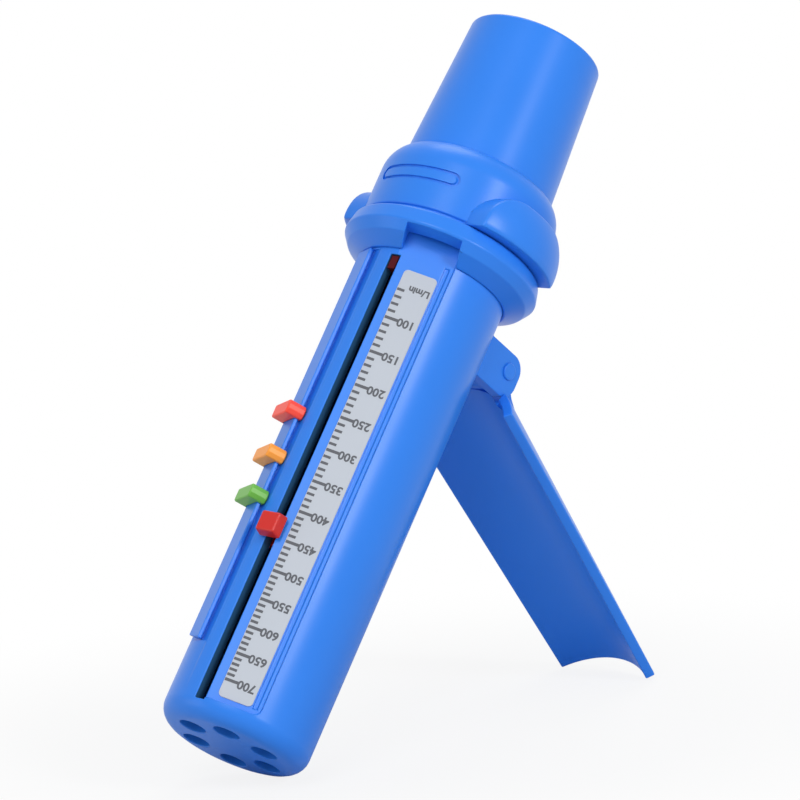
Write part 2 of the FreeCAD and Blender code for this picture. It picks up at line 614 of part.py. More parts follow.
def build_marker(colour):
    """A zone marker: a clip that wraps the rail's head, with a point that faces the scale."""
    body = new_body(f"marker_{colour}")
    place = size(f"{colour}_place")
    tall, gap = size("marker_height") / 2, size("slide_gap")
    half = size("rail_head") / 2 + gap + size("marker_wall")
    foot, top = RAIL_FLOOR + gap, TUBE + size("marker_proud")
    tip = half + size("marker_point")
    sketch = sketch_facing(body, f"{body.Name}Outline", size("rail_azimuth"), foot)
    polygon(sketch, [(-half, place - tall), (half, place - tall), (tip, place - tall / 3), (tip, place + tall / 3),
                     (half, place + tall), (-half, place + tall)])
    extrude(body, "Pad", f"{body.Name}Block", sketch, top - foot)
    sketch = sketch_across(body, f"{body.Name}Channel", size("rail_azimuth"), place)
    polygon(sketch, rail_section(size("rail_neck") / 2 + gap, size("rail_head") / 2 + gap, RAIL_UNDER - gap,
                                 RAIL_TOP + gap, foot - gap))
    extrude(body, "Pocket", f"{body.Name}Cut", sketch, size("marker_height") * 2, both_ways=True)
    return body


def build_pointer():
    """The pointer outside the slot and the shoe that holds it inside the barrel."""
    azimuth, place = size("slot_azimuth"), size("pointer_place")
    base = TUBE + size("knob_gap")
    outer = BORE - size("shoe_gap")
    inner = outer - size("shoe_wall")
    stem = outer - size("shoe_wall") / 2
    knob = new_body("pointer_knob")
    sketch = sketch_facing(knob, "KnobOutline", azimuth, base)
    half, tall = size("knob_width") / 2, size("knob_height") / 2
    rectangle(sketch, -half, half, place - tall, place + tall)
    extrude(knob, "Pad", "KnobBlock", sketch, size("knob_depth"))
    sketch = sketch_facing(knob, "StemOutline", azimuth, stem)
    half, tall = size("stem_width") / 2, size("stem_height") / 2
    rectangle(sketch, -half, half, place - tall, place + tall)
    extrude(knob, "Pad", "Stem", sketch, base - stem)

    shoe = new_body("pointer_shoe")
    sketch = sketch_across(shoe, "ShoeProfile", azimuth + 180, place - size("shoe_height") / 2)
    sector(sketch, inner, outer, size("shoe_angle"))
    extrude(shoe, "Pad", "ShoeBand", sketch, size("shoe_height"))
    sketch = sketch_facing(shoe, "StemHole", azimuth, as_size(0))
    fit = size("rod_fit")
    rectangle(sketch, -half - fit, half + fit, place - tall - fit, place + tall + fit)
    extrude(shoe, "Pocket", "StemSocket", sketch, outer * 1.2, reverse=True)
    return [knob, shoe]


def build_piston():
    """The piston: a skirted disc on a bush that runs on the rod, with a tab that reaches into the slot."""
    low, web, rim = PISTON_LOW, size("piston_web"), size("piston_rim")
    outer, skirt = PISTON_OUTER, PISTON_LOW + size("piston_skirt")
    fit = size("rod_fit")
    hub = size("bush_radius") + fit
    disc = turned_body("piston_disc", [(hub, low), (outer, low), (outer, skirt), (outer - rim, skirt),
                                       (outer - rim, low + web), (hub, low + web)])
    rod_hole, flange = size("rod_radius") + size("rod_gap"), size("bush_flange")
    bottom, top = low - size("bush_below"), low + size("bush_above")
    under = low - fit
    bush = turned_body("piston_bush", [(rod_hole, bottom), (flange, bottom), (flange, under),
                                       (size("bush_radius"), under), (size("bush_radius"), top), (rod_hole, top)])
    tab = new_body("piston_tab")
    root, tab_low, half = BORE - size("tab_root"), low - size("tab_drop"), size("tab_width") / 2
    sketch = sketch_facing(tab, "TabOutline", size("slot_azimuth"), root)
    rectangle(sketch, -half, half, tab_low, under)
    extrude(tab, "Pad", "TabFoot", sketch, size("tab_root"))
    sketch = sketch_facing(tab, "FingerOutline", size("slot_azimuth"), outer + fit)
    rectangle(sketch, -half, half, tab_low, tab_low + size("tab_height"))
    extrude(tab, "Pad", "Finger", sketch, TUBE - size("tab_short") - outer - fit)
    return [disc, bush, tab]


def build_rod_support():
    """The rod, the spider that centres it, its clip, the spring's anchor, the seal and the end bumper."""
    rod, fit = size("rod_radius"), size("rod_fit")
    around, top = rod + fit, size("tube_top")
    opening = BORE + size("seal_lip")
    rod_top = top + size("rod_reach")
    floor = size("boss_floor")
    pieces = [turned_body("guide_rod", [(0, floor), (rod, floor), (rod, rod_top), (0, rod_top)])]
    pieces.append(ring_body("head_seal", opening, TUBE, top, SEAL_TOP))

    spider = ring_body("rod_spider", around, TUBE, SEAL_TOP, SPIDER_TOP)
    sketch = sector(sketch_on(spider, "WindowProfile", "XY_Plane"), size("spider_hub"), opening,
                    size("spider_window"))
    window = extrude(spider, "Pocket", "Window", sketch, SPIDER_TOP * 2.2, both_ways=True)
    repeat_round(spider, "Windows", window, sketch, size("spider_arms"))
    pieces.append(spider)

    clip = SPIDER_TOP + fit
    pieces.append(ring_body("rod_clip", around, size("clip_radius"), clip, clip + size("clip_thickness")))
    anchor = SEAL_TOP - fit
    pieces.append(ring_body("spring_anchor", around, size("anchor_radius"), anchor - size("anchor_thickness"),
                            anchor))
    boss_top = size("boss_top")
    pieces.append(ring_body("end_bumper", around, size("bumper_radius"), boss_top,
                            boss_top + size("bumper_thickness")))
    return pieces


def build_return_spring():
    """The return spring round the rod, close wound while the piston is parked."""
    wire, radius = size("spring_wire").value / 2, size("spring_radius").value
    room = wire * 1.2
    low = (PISTON_LOW + size("bush_above")).value + room
    high = (SEAL_TOP - size("rod_fit") - size("anchor_thickness")).value - room
    turns = size("spring_turns").value
    helix = Part.makeHelix((high - low) / turns, high - low, radius)
    section = Part.Wire([Part.Circle(Vector(radius, 0, 0), Vector(0, 1, 0), wire).toShape()])
    spring = doc.addObject("Part::Feature", "ReturnSpring")
    spring.Label = "return_spring"
    spring.Shape = Part.Wire(helix.Edges).makePipeShell([section], True, True)
    spring.Placement = Placement(Vector(0, 0, low), Rotation())
    return spring


def lean_angle():
    """The angle from the floor's normal to the barrel's axis when both feet touch, in degrees."""
    opened = math.radians(size("open_angle").value)
    along = (math.sin(opened), -math.cos(opened))
    away = (math.cos(opened), math.sin(opened))
    length = size("handle_length").value
    inset = PIVOT_Y.value - HANDLE_INNER.value * cosine(size("foot_angle")).value
    lip = (PIVOT_Y.value + along[0] * length - away[0] * inset,
           PIVOT_Z.value + along[1] * length - away[1] * inset)
    rounding = size("end_rounding").value
    centre = (TUBE.value - rounding, rounding)
    run, rise = lip[0] - centre[0], lip[1] - centre[1]
    return math.degrees(math.atan2(rise, run) + math.asin(rounding / math.hypot(run, rise)))


def stand_up(pieces, handle):
    """Leans the meter on its end and its opened handle, and puts the origin under the middle of its box."""
    pivot = Vector(0, PIVOT_Y.value, PIVOT_Z.value)
    opened = Placement(Vector(0, 0, 0), Rotation(Vector(1, 0, 0), size("open_angle").value), pivot)
    lean = Placement(Vector(0, 0, 0), Rotation(Vector(1, 0, 0), -lean_angle()))
    drawn = {piece.Name: piece.Placement for piece in pieces}
    for piece in pieces:
        own = opened if piece is handle else Placement()
        piece.Placement = lean * own * drawn[piece.Name]
    doc.recompute()
    box = pieces[0].Shape.optimalBoundingBox(False, False)
    for piece in pieces[1:]:
        box.add(piece.Shape.optimalBoundingBox(False, False))
    shift = Placement(Vector(-box.Center.x, -box.Center.y, -box.ZMin), Rotation())
    for piece in pieces:
        piece.Placement = shift * piece.Placement
    doc.recompute()
    return shift * lean


def build_meter():
    tube = build_body_tube()
    handle = build_handle()
    pieces = [tube, handle, build_scale_label(), build_inlet_head(), build_mouthpiece(), build_hinge_pin()]
    pieces += [build_marker(colour) for colour in ("red", "yellow", "green")]
    pieces += build_pointer()
    pieces += build_piston()
    pieces += build_rod_support()
    pieces.append(build_return_spring())
    stance = stand_up(pieces, handle)
    return pieces, stance


def write_steps(pieces):
    failed = [item.Name for item in doc.Objects if "Invalid" in item.State or "Error" in item.State]
    if failed:
        raise RuntimeError(f"features failed: {failed}")
    for piece in pieces:
        shape = piece.Shape
        if shape.isNull() or not shape.isValid() or not shape.Solids:
            raise RuntimeError(f"{piece.Label} has no valid solid")
    for piece in pieces:
        piece.Shape.exportStep(f"parts/{piece.Label}.step")


METER, STANCE = build_meter()
write_steps(METER)
print(f"{len(METER)} pieces, leaned {lean_angle():.3f} degrees, tube foot at {STANCE.Base}")
for piece in METER:
    print(f"{piece.Label}: {len(piece.Shape.Solids)} solid, {piece.Shape.Volume:.1f} mm3")
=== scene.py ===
# %% [markdown]
# # A peak flow meter, standing on its open handle
#
# The meter is a slotted tube that a person blows into. A piston inside runs down a rod against a
# spring and leaves a red pointer beside the printed scale. The construction comes from a packed
# model: every piece is already at its real size and place. This file gives the visible pieces
# their moulded shapes and finishes, and lights them as in the photograph.

# %% Load the frame and remember its box
import json
import math

import bmesh
import bpy
from mathutils import Matrix, Vector


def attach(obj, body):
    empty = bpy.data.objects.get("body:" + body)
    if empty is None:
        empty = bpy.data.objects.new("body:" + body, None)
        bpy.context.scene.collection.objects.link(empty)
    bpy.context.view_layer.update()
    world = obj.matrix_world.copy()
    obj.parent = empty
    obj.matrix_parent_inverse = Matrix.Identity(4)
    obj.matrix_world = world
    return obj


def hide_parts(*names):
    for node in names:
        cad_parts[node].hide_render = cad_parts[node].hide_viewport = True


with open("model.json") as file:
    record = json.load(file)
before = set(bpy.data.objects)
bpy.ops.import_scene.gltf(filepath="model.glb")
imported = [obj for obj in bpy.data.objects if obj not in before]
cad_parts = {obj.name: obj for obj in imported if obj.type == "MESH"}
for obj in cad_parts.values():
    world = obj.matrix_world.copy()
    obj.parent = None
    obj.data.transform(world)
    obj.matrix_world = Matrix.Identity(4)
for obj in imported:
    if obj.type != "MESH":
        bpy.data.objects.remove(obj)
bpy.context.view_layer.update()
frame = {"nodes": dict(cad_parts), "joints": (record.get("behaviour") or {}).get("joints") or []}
MM = 0.001
print("nodes:", sorted(frame["nodes"]))

# %% [markdown]
# ## Working along the barrel
#
# The barrel leans back, and modelling on a slant in metres is awkward. So each piece is modelled
# upright in millimetres, with Z running up the barrel from its vented end, and one matrix leans it
# and turns millimetres into metres at the end. The matrix comes from two joints of the frame: the
# mouthpiece slides along the barrel's axis, and the handle's pivot is a known point of it. The
# other way would be to turn every primitive as it is added, but then no edge would lie along an
# axis, and selecting by place would be hard.

# %% The upright frame and the lean
JOINTS = {joint["name"]: joint for joint in frame["joints"]}
TUBE_RADIUS = 16.5
HEAD_LOW = 112.4
PIVOT = Vector((0, TUBE_RADIUS + 5.3, HEAD_LOW - 8.0))
OPEN_ANGLE = math.radians(71.05)


def lean_matrix():
    """The matrix that takes an upright piece in millimetres to its place in the frame."""
    axis = Vector(JOINTS["mouthpiece_pull"]["axis"])
    turn = Vector((0, 0, 1)).rotation_difference(axis).to_matrix().to_4x4() @ Matrix.Scale(MM, 4)
    shift = Vector(JOINTS["handle_fold"]["pos_m"]) - turn @ PIVOT
    return Matrix.Translation(shift) @ turn


def upright_box(node):
    """Lowest and highest corners of a CAD node, in millimetres, once it is stood upright again."""
    back = LEAN.inverted()
    points = [back @ vertex.co for vertex in frame["nodes"][node].data.vertices]
    return (Vector([min(point[i] for point in points) for i in range(3)]),
            Vector([max(point[i] for point in points) for i in range(3)]))


LEAN = lean_matrix()
for node in ("body_tube", "inlet_head", "mouthpiece"):
    low, high = upright_box(node)
    print(node, "from", tuple(round(v, 2) for v in low), "to", tuple(round(v, 2) for v in high))

# %% [markdown]
# ## The camera
#
# The photograph looks down about ten degrees, from the front right of the scale, and is turned a
# little, so the meter seems to lean further than it does. A long lens a metre away gives the
# weak perspective seen at the barrel's two ends.

# %% Camera
CAMERA_AZIMUTH = math.radians(43.17)
CAMERA_ELEVATION = math.radians(9.304)
CAMERA_ROLL = math.radians(-3.472)
CAMERA_DISTANCE = 1.0782
CAMERA_AIM = Vector((0.0007, 0.0, 0.0733))
SENSOR_MM = 36.0
LENS_MM = 225.0


def add_camera():
    """Places the camera by azimuth, height above the horizon and distance, then rolls it."""
    sight = Vector((-math.sin(CAMERA_AZIMUTH) * math.cos(CAMERA_ELEVATION),
                    math.cos(CAMERA_AZIMUTH) * math.cos(CAMERA_ELEVATION),
                    -math.sin(CAMERA_ELEVATION)))
    data = bpy.data.cameras.new("camera")
    data.lens = LENS_MM
    data.sensor_width = SENSOR_MM
    data.clip_end = 50
    camera = bpy.data.objects.new("camera", data)
    camera.location = CAMERA_AIM - sight * CAMERA_DISTANCE
    level = sight.to_track_quat("-Z", "Y")
    camera.rotation_euler = (level.to_matrix() @ Matrix.Rotation(CAMERA_ROLL, 3, "Z")).to_euler()
    bpy.context.scene.collection.objects.link(camera)
    bpy.context.scene.camera = camera
    return camera


camera = add_camera()
print("camera at", tuple(round(v, 3) for v in camera.location))

# %% [markdown]
# ## Light and background
#
# The photograph is a product shot on white, with no hard shadow. Large area lamps give that: the
# key stands high beside the camera, the band draws the bright stripe down the barrel's right side,
# the top lamp is behind and lights the crown and the lips, and a weak fill lifts the left.
#
# A floor lit to pure white would need lamps that burn out the blue. So the world and the floor
# show plain white to the camera and in reflections, whatever the lamps give. Near the object the
# camera still sees a share of the lit paper, which keeps a faint shadow under it, and reflections
# see nothing but that paper.

# %% Floor, world and lamps
WHITE = (1.0, 1.0, 1.0, 1.0)
PAPER_GREY = (0.68, 0.68, 0.68, 1.0)
PAPER_WHITENESS = 0.86  # the camera's share of plain white near the object
SHADOW_REACH = 0.16  # metres from the floor's middle to where it is all white
FLOOR_SIZE = 6.0
FLOOR_DROP = 0.0004
AMBIENT_COLOUR = (0.92, 0.95, 1.0, 1.0)
AMBIENT_STRENGTH = 0.37
OBJECT_MIDDLE = (0, 0, 0.08)
OBJECT_FOOT = (0, 0.03, 0.05)


def background_white(nodes, links, shader, shares=None):
    """Mixes plain white over a shader for the camera and for reflections.

    The two shares are sockets that say how much white each of them sees; without shares it is all.
    """
    path = nodes.new("ShaderNodeLightPath")
    most = nodes.new("ShaderNodeMath")
    most.operation = "MAXIMUM"
    for socket, ray in enumerate(("Is Camera Ray", "Is Glossy Ray")):
        amount = path.outputs[ray]
        if shares:
            part = nodes.new("ShaderNodeMath")
            part.operation = "MULTIPLY"
            links.new(amount, part.inputs[0])
            links.new(shares[socket], part.inputs[1])
            amount = part.outputs[0]
        links.new(amount, most.inputs[socket])
    in_world = shader.bl_idname == "ShaderNodeBackground"
    white = nodes.new("ShaderNodeBackground" if in_world else "ShaderNodeEmission")
    white.inputs["Color"].default_value = WHITE
    mix = nodes.new("ShaderNodeMixShader")
    links.new(most.outputs[0], mix.inputs[0])
    links.new(shader.outputs[0], mix.inputs[1])
    links.new(white.outputs[0], mix.inputs[2])
    return mix


def far_share(nodes, links, near):
    """A share that grows from a value near the floor's middle to 1 at the shadow's reach."""
    place = nodes.new("ShaderNodeTexCoord")
    away = nodes.new("ShaderNodeVectorMath")
    away.operation = "LENGTH"
    links.new(place.outputs["Object"], away.inputs[0])
    fade = nodes.new("ShaderNodeMapRange")
    fade.interpolation_type = "SMOOTHSTEP"
    fade.inputs["From Min"].default_value = SHADOW_REACH / 3
    fade.inputs["From Max"].default_value = SHADOW_REACH
    fade.inputs["To Min"].default_value = near
    links.new(away.outputs["Value"], fade.inputs["Value"])
    return fade.outputs["Result"]


def build_world():
    """An even, slightly cool light from all round, seen as white."""
    world = bpy.data.worlds.new("studio")
    world.use_nodes = True
    nodes, links = world.node_tree.nodes, world.node_tree.links
    ambient = nodes["Background"]
    ambient.inputs["Color"].default_value = AMBIENT_COLOUR
    ambient.inputs["Strength"].default_value = AMBIENT_STRENGTH
    mix = background_white(nodes, links, ambient)
    links.new(mix.outputs[0], nodes["World Output"].inputs["Surface"])
    bpy.context.scene.world = world


def build_floor():
    """A sheet of paper a hair below the object, white but for a faint shadow."""
    bpy.ops.object.select_all(action="DESELECT")
    bpy.ops.mesh.primitive_plane_add(size=FLOOR_SIZE, location=(0, 0, -FLOOR_DROP))
    floor = bpy.context.active_object
    floor.name = "floor"
    material = bpy.data.materials.new("floor_paper")
    material.use_nodes = True
    nodes, links = material.node_tree.nodes, material.node_tree.links
    principled = nodes["Principled BSDF"]
    principled.inputs["Base Color"].default_value = PAPER_GREY
    principled.inputs["Roughness"].default_value = 0.9
    principled.inputs["Specular IOR Level"].default_value = 0.1
    shares = [far_share(nodes, links, near) for near in (PAPER_WHITENESS, 0.0)]
    mix = background_white(nodes, links, principled, shares)
    links.new(mix.outputs[0], nodes["Material Output"].inputs["Surface"])
    floor.data.materials.append(material)


def add_lamp(name, place, aim, size, power):
    """A round white area lamp; its size is a diameter in metres and its power is in watts."""
    data = bpy.data.lights.new(name, "AREA")
    data.shape = "DISK"
    data.size = size
    data.energy = power
    lamp = bpy.data.objects.new(name, data)
    lamp.location = place
    lamp.rotation_euler = (Vector(aim) - Vector(place)).to_track_quat("-Z", "Y").to_euler()
    bpy.context.scene.collection.objects.link(lamp)


build_world()
build_floor()
add_lamp("key", (0.5, -1.0, 1.15), OBJECT_MIDDLE, size=0.8, power=9.3)
add_lamp("band", (1.33, -0.06, 0.72), OBJECT_MIDDLE, size=0.34, power=8.4)
add_lamp("top", (-0.4, 0.6, 1.3), OBJECT_MIDDLE, size=0.8, power=5.0)
add_lamp("fill", (-0.7, -1.1, 0.25), OBJECT_FOOT, size=0.7, power=2.0)
bpy.context.scene.view_settings.view_transform = "Standard"

# %% [markdown]
# ## Helpers for modelling by hand
#
# Every piece below starts from a primitive and is shaped in edit mode. An operator acts on all
# that is selected, so each step first selects faces or vertices by where they lie. Cutting
# and joining with other shapes is left to Boolean modifiers, and the small radius that every
# moulded edge has comes from a Bevel modifier that only takes edges sharper than an angle. Last,
# weighted normals keep the large faces flat in the light, so that the shading turns on the edges.

# %% Helpers
ELEMENTS = {"VERT": "verts", "FACE": "faces"}


def only(piece):
    """Makes the piece the only selected and active object, in object mode."""
    active = bpy.context.view_layer.objects.active
    if active is not None and active.mode != "OBJECT":
        bpy.ops.object.mode_set(mode="OBJECT")
    bpy.ops.object.select_all(action="DESELECT")
    if piece is not None:
        bpy.context.view_layer.objects.active = piece
        piece.select_set(True)


def pick(piece, kind, wanted):
    """Enters edit mode and selects the elements for which wanted(element) is true."""
    only(piece)
    bpy.ops.object.mode_set(mode="EDIT")
    bpy.ops.mesh.select_mode(type=kind)
    bpy.ops.mesh.select_all(action="DESELECT")
    mesh = bmesh.from_edit_mesh(piece.data)
    for element in getattr(mesh, ELEMENTS[kind]):
        if wanted(element):
            element.select_set(True)
    mesh.select_flush_mode()
    bmesh.update_edit_mesh(piece.data)


def done():
    """Leaves edit mode."""
    bpy.ops.object.mode_set(mode="OBJECT")


def added(name):
    """Names the primitive that was just added and puts its place into its mesh."""
    piece = bpy.context.active_object
    piece.name = name
    only(piece)
    bpy.ops.object.transform_apply(location=True, rotation=True, scale=True)
    return piece


def cylinder(name, radius, low, high, sides=96, place=(0, 0)):
    """A cylinder along Z between two heights."""
    only(None)
    bpy.ops.mesh.primitive_cylinder_add(vertices=sides, radius=radius, depth=high - low,
                                        location=(place[0], place[1], (low + high) / 2))
    return added(name)


def axle(name, radius, reach, place, sides=64):
    """A cylinder along X, centred on x = 0, whose axis passes through (y, z)."""
    only(None)
    bpy.ops.mesh.primitive_cylinder_add(vertices=sides, radius=radius, depth=reach * 2,
                                        location=(0, *place), rotation=(0, math.pi / 2, 0))
    return added(name)


def block(name, low, high):
    """A box between two corners."""
    low, high = Vector(low), Vector(high)
    only(None)
    bpy.ops.mesh.primitive_cube_add(size=1, location=(low + high) / 2, scale=high - low)
    return added(name)


def apply_modifier(piece, kind, **settings):
    """Adds a modifier with its settings and applies it at once."""
    only(piece)
    modifier = piece.modifiers.new(kind.lower(), kind)
    for key, value in settings.items():
        setattr(modifier, key, value)
    bpy.ops.object.modifier_apply(modifier=modifier.name)


def combine(piece, other, how):
    """Cuts another shape out of the piece, joins it on, or keeps what they share; the other goes."""
    apply_modifier(piece, "BOOLEAN", operation=how, solver="EXACT", object=other)
    bpy.data.objects.remove(other)


def weld(piece, distance=2e-4):
    """Merges vertices that lie closer together than the distance, in millimetres."""
    pick(piece, "VERT", lambda vertex: True)
    bpy.ops.mesh.remove_doubles(threshold=distance)
    done()


def round_edges(piece, width, segments=2, angle=40, smooth=32):
    """Gives every edge sharper than the angle a small moulded radius, and shades the rest smooth."""
    weld(piece)
    if width:
        apply_modifier(piece, "BEVEL", width=width, segments=segments, limit_method="ANGLE",
                       angle_limit=math.radians(angle), use_clamp_overlap=False)
    only(piece)
    bpy.ops.object.shade_smooth_by_angle(angle=math.radians(smooth))


def at_azimuth(piece, degrees):
    """Swings a piece modelled at the barrel's front (-Y) round to an azimuth towards +X."""
    piece.data.transform(Matrix.Rotation(math.radians(degrees), 4, "Z"))
    return piece


def rounded(corners, steps=5):
    """An outline in which each corner given as (x, z, radius) becomes an arc of that radius."""
    outline = []
    for number, corner in enumerate(corners):
        if len(corner) == 2:
            outline.append(corner)
            continue
        here = Vector(corner[:2])
        back = (Vector(corners[number - 1][:2]) - here).normalized()
        ahead = (Vector(corners[(number + 1) % len(corners)][:2]) - here).normalized()
        half = back.angle(ahead) / 2
        centre = here + (back + ahead).normalized() * corner[2] / math.sin(half)
        start = here + back * corner[2] / math.tan(half) - centre
        sweep = start.angle_signed(here + ahead * corner[2] / math.tan(half) - centre)
        for step in range(steps + 1):
            spoke = Matrix.Rotation(-sweep * step / steps, 2) @ start
            outline.append(tuple(centre + spoke))
    return outline


def drawn(name, points):
    """A line drawn as by hand: one vertex, extruded from place to place."""
    only(None)
    bpy.ops.mesh.primitive_plane_add(size=1, location=points[0])
    piece = added(name)
    pick(piece, "VERT", lambda vertex: True)
    bpy.ops.mesh.merge(type="CENTER")
    for here, there in zip(points, points[1:]):
        bpy.ops.mesh.extrude_region_move(TRANSFORM_OT_translate={"value": Vector(there) - Vector(here)})
    done()
    return piece


def face_out(piece):
    """Merges doubles and turns every face outwards."""
    weld(piece, 1e-4)
    pick(piece, "FACE", lambda face: True)
    bpy.ops.mesh.normals_make_consistent(inside=False)
    done()
    return piece


def turned(name, profile, sides=144):
    """A lathe shape: a profile of (radius, height) is closed and spun about Z."""
    piece = drawn(name, [(radius, 0, height) for radius, height in profile])
    ends = (0, len(profile) - 1)
    pick(piece, "VERT", lambda vertex: vertex.index in ends)
    bpy.ops.mesh.edge_face_add()
    bpy.ops.mesh.select_all(action="SELECT")
    bpy.ops.mesh.spin(steps=sides, angle=2 * math.pi, center=(0, 0, 0), axis=(0, 0, 1))
    done()
    return face_out(piece)


def pushed(name, points, push):
    """A solid: an outline is filled with a face and extruded along a direction."""
    piece = drawn(name, points)
    pick(piece, "VERT", lambda vertex: True)
    bpy.ops.mesh.edge_face_add()
    bpy.ops.mesh.extrude_region_move(TRANSFORM_OT_translate={"value": push})
    done()
    return face_out(piece)


def facing(name, outline, near, far, azimuth=0.0):
    """A solid whose outline (x, z) faces outwards at an azimuth, between two distances from the axis."""
    piece = pushed(name, [(x, -near, z) for x, z in outline], (0, near - far, 0))
    return at_azimuth(piece, azimuth)


def rising(name, outline, low, high):
    """A solid whose outline (x, y) is seen from above, between two heights."""
    return pushed(name, [(x, y, low) for x, y in outline], (0, 0, high - low))


def sideways(name, outline, left, right):
    """A solid whose outline (y, z) is seen from the side, between two places along X."""
    return pushed(name, [(left, y, z) for y, z in outline], (right - left, 0, 0))


def oblong(half, low, high, corner=0.0):
    """A rectangle (x, z) centred on x = 0, with rounded corners where a radius is given."""
    corners = [(-half, low), (half, low), (half, high), (-half, high)]
    if not corner:
        return corners
    return rounded([(x, z, corner) for x, z in corners])


def stand(piece, name, body, material, *nodes, opened=False):
    """Leans a finished piece, gives it its finish and lets it ride on its body in the nodes' stead.

    An opened piece was modelled folded along the barrel and first turns out about the pivot.
    """
    apply_modifier(piece, "WEIGHTED_NORMAL", keep_sharp=True)
    turn = Matrix.Identity(4)
    if opened:
        centre = Matrix.Translation(PIVOT)
        turn = centre @ Matrix.Rotation(OPEN_ANGLE, 4, "X") @ centre.inverted()
    piece.data.transform(LEAN @ turn)
    piece.name = name
    piece.data.name = name
    if not piece.data.materials:
        piece.data.materials.append(material)
    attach(piece, body)
    if nodes:
        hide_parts(*nodes)
    print(name, len(piece.data.polygons), "faces")


# %% [markdown]
# ## One skin for every moulding
#
# All the plastic pieces come out of polished steel moulds: a clear gloss with a very fine grain,
# and a colour that drifts a little with the wall's thickness. That is the same effect at other
# colours, so it is one node group with its own inputs, placed in each material. A single flat
# colour would look like a paint bucket fill, and an image would have to be unwrapped.
#
# The colours are linear. They are deeper than they look in the photograph, because the white all
# round lightens every gloss.

# %% The moulded skin group
GRAIN_SCALE = 3000.0
GRAIN_DEPTH = 0.0002
DRIFT_SCALE = 45.0
GLOSS_DRIFT = 0.12


def group_socket(tree, name, way, kind, default=None):
    """Adds a named input or output to a node group."""
    socket = tree.interface.new_socket(name=name, in_out=way, socket_type=kind)
    if default is not None:
        socket.default_value = default


def build_moulded_skin():
    """From a colour, its drift, a roughness and a grain to what the shader needs."""
    tree = bpy.data.node_groups.new("moulded_skin", "ShaderNodeTree")
    group_socket(tree, "Colour", "INPUT", "NodeSocketColor", (0.5, 0.5, 0.5, 1))
    group_socket(tree, "Drift", "INPUT", "NodeSocketFloat", 0.06)
    group_socket(tree, "Roughness", "INPUT", "NodeSocketFloat", 0.3)
    group_socket(tree, "Grain scale", "INPUT", "NodeSocketFloat", GRAIN_SCALE)
    group_socket(tree, "Colour", "OUTPUT", "NodeSocketColor")
    group_socket(tree, "Roughness", "OUTPUT", "NodeSocketFloat")
    group_socket(tree, "Height", "OUTPUT", "NodeSocketFloat")
    nodes, links = tree.nodes, tree.links
    entry = nodes.new("NodeGroupInput")
    leave = nodes.new("NodeGroupOutput")
    place = nodes.new("ShaderNodeTexCoord")

    cloud = nodes.new("ShaderNodeTexNoise")
    cloud.inputs["Scale"].default_value = DRIFT_SCALE
    cloud.inputs["Detail"].default_value = 3
    links.new(place.outputs["Object"], cloud.inputs["Vector"])
    drift = nodes.new("ShaderNodeMath")
    drift.operation = "MULTIPLY_ADD"
    drift.inputs[2].default_value = 1.0
    centred = nodes.new("ShaderNodeMath")
    centred.operation = "SUBTRACT"
    centred.inputs[1].default_value = 0.5
    links.new(cloud.outputs["Fac"], centred.inputs[0])
    links.new(centred.outputs[0], drift.inputs[0])
    links.new(entry.outputs["Drift"], drift.inputs[1])
    tint = nodes.new("ShaderNodeHueSaturation")
    links.new(entry.outputs["Colour"], tint.inputs["Color"])
    links.new(drift.outputs[0], tint.inputs["Value"])
    links.new(tint.outputs["Color"], leave.inputs["Colour"])

    grain = nodes.new("ShaderNodeTexNoise")
    grain.inputs["Detail"].default_value = 2
    links.new(place.outputs["Object"], grain.inputs["Vector"])
    links.new(entry.outputs["Grain scale"], grain.inputs["Scale"])
    links.new(grain.outputs["Fac"], leave.inputs["Height"])
    gloss = nodes.new("ShaderNodeMath")
    gloss.operation = "MULTIPLY_ADD"
    gloss.inputs[1].default_value = GLOSS_DRIFT
    links.new(centred.outputs[0], gloss.inputs[0])
    links.new(entry.outputs["Roughness"], gloss.inputs[2])
    links.new(gloss.outputs[0], leave.inputs["Roughness"])
    return tree


MOULDED_SKIN = build_moulded_skin()


def moulded(name, colour, roughness, drift=0.08, bump=0.04, shine=0.35):
    """A moulded plastic in one colour."""
    material = bpy.data.materials.new(name)
    material.use_nodes = True
    nodes, links = material.node_tree.nodes, material.node_tree.links
    principled = nodes["Principled BSDF"]
    skin = nodes.new("ShaderNodeGroup")
    skin.node_tree = MOULDED_SKIN
    skin.inputs["Colour"].default_value = (*colour, 1)
    skin.inputs["Drift"].default_value = drift
    skin.inputs["Roughness"].default_value = roughness
    skin.inputs["Grain scale"].default_value = GRAIN_SCALE
    bumps = nodes.new("ShaderNodeBump")
    bumps.inputs["Strength"].default_value = bump
    bumps.inputs["Distance"].default_value = GRAIN_DEPTH
    links.new(skin.outputs["Colour"], principled.inputs["Base Color"])
    links.new(skin.outputs["Roughness"], principled.inputs["Roughness"])
    links.new(skin.outputs["Height"], bumps.inputs["Height"])
    links.new(bumps.outputs["Normal"], principled.inputs["Normal"])
    principled.inputs["Specular IOR Level"].default_value = shine
    return material


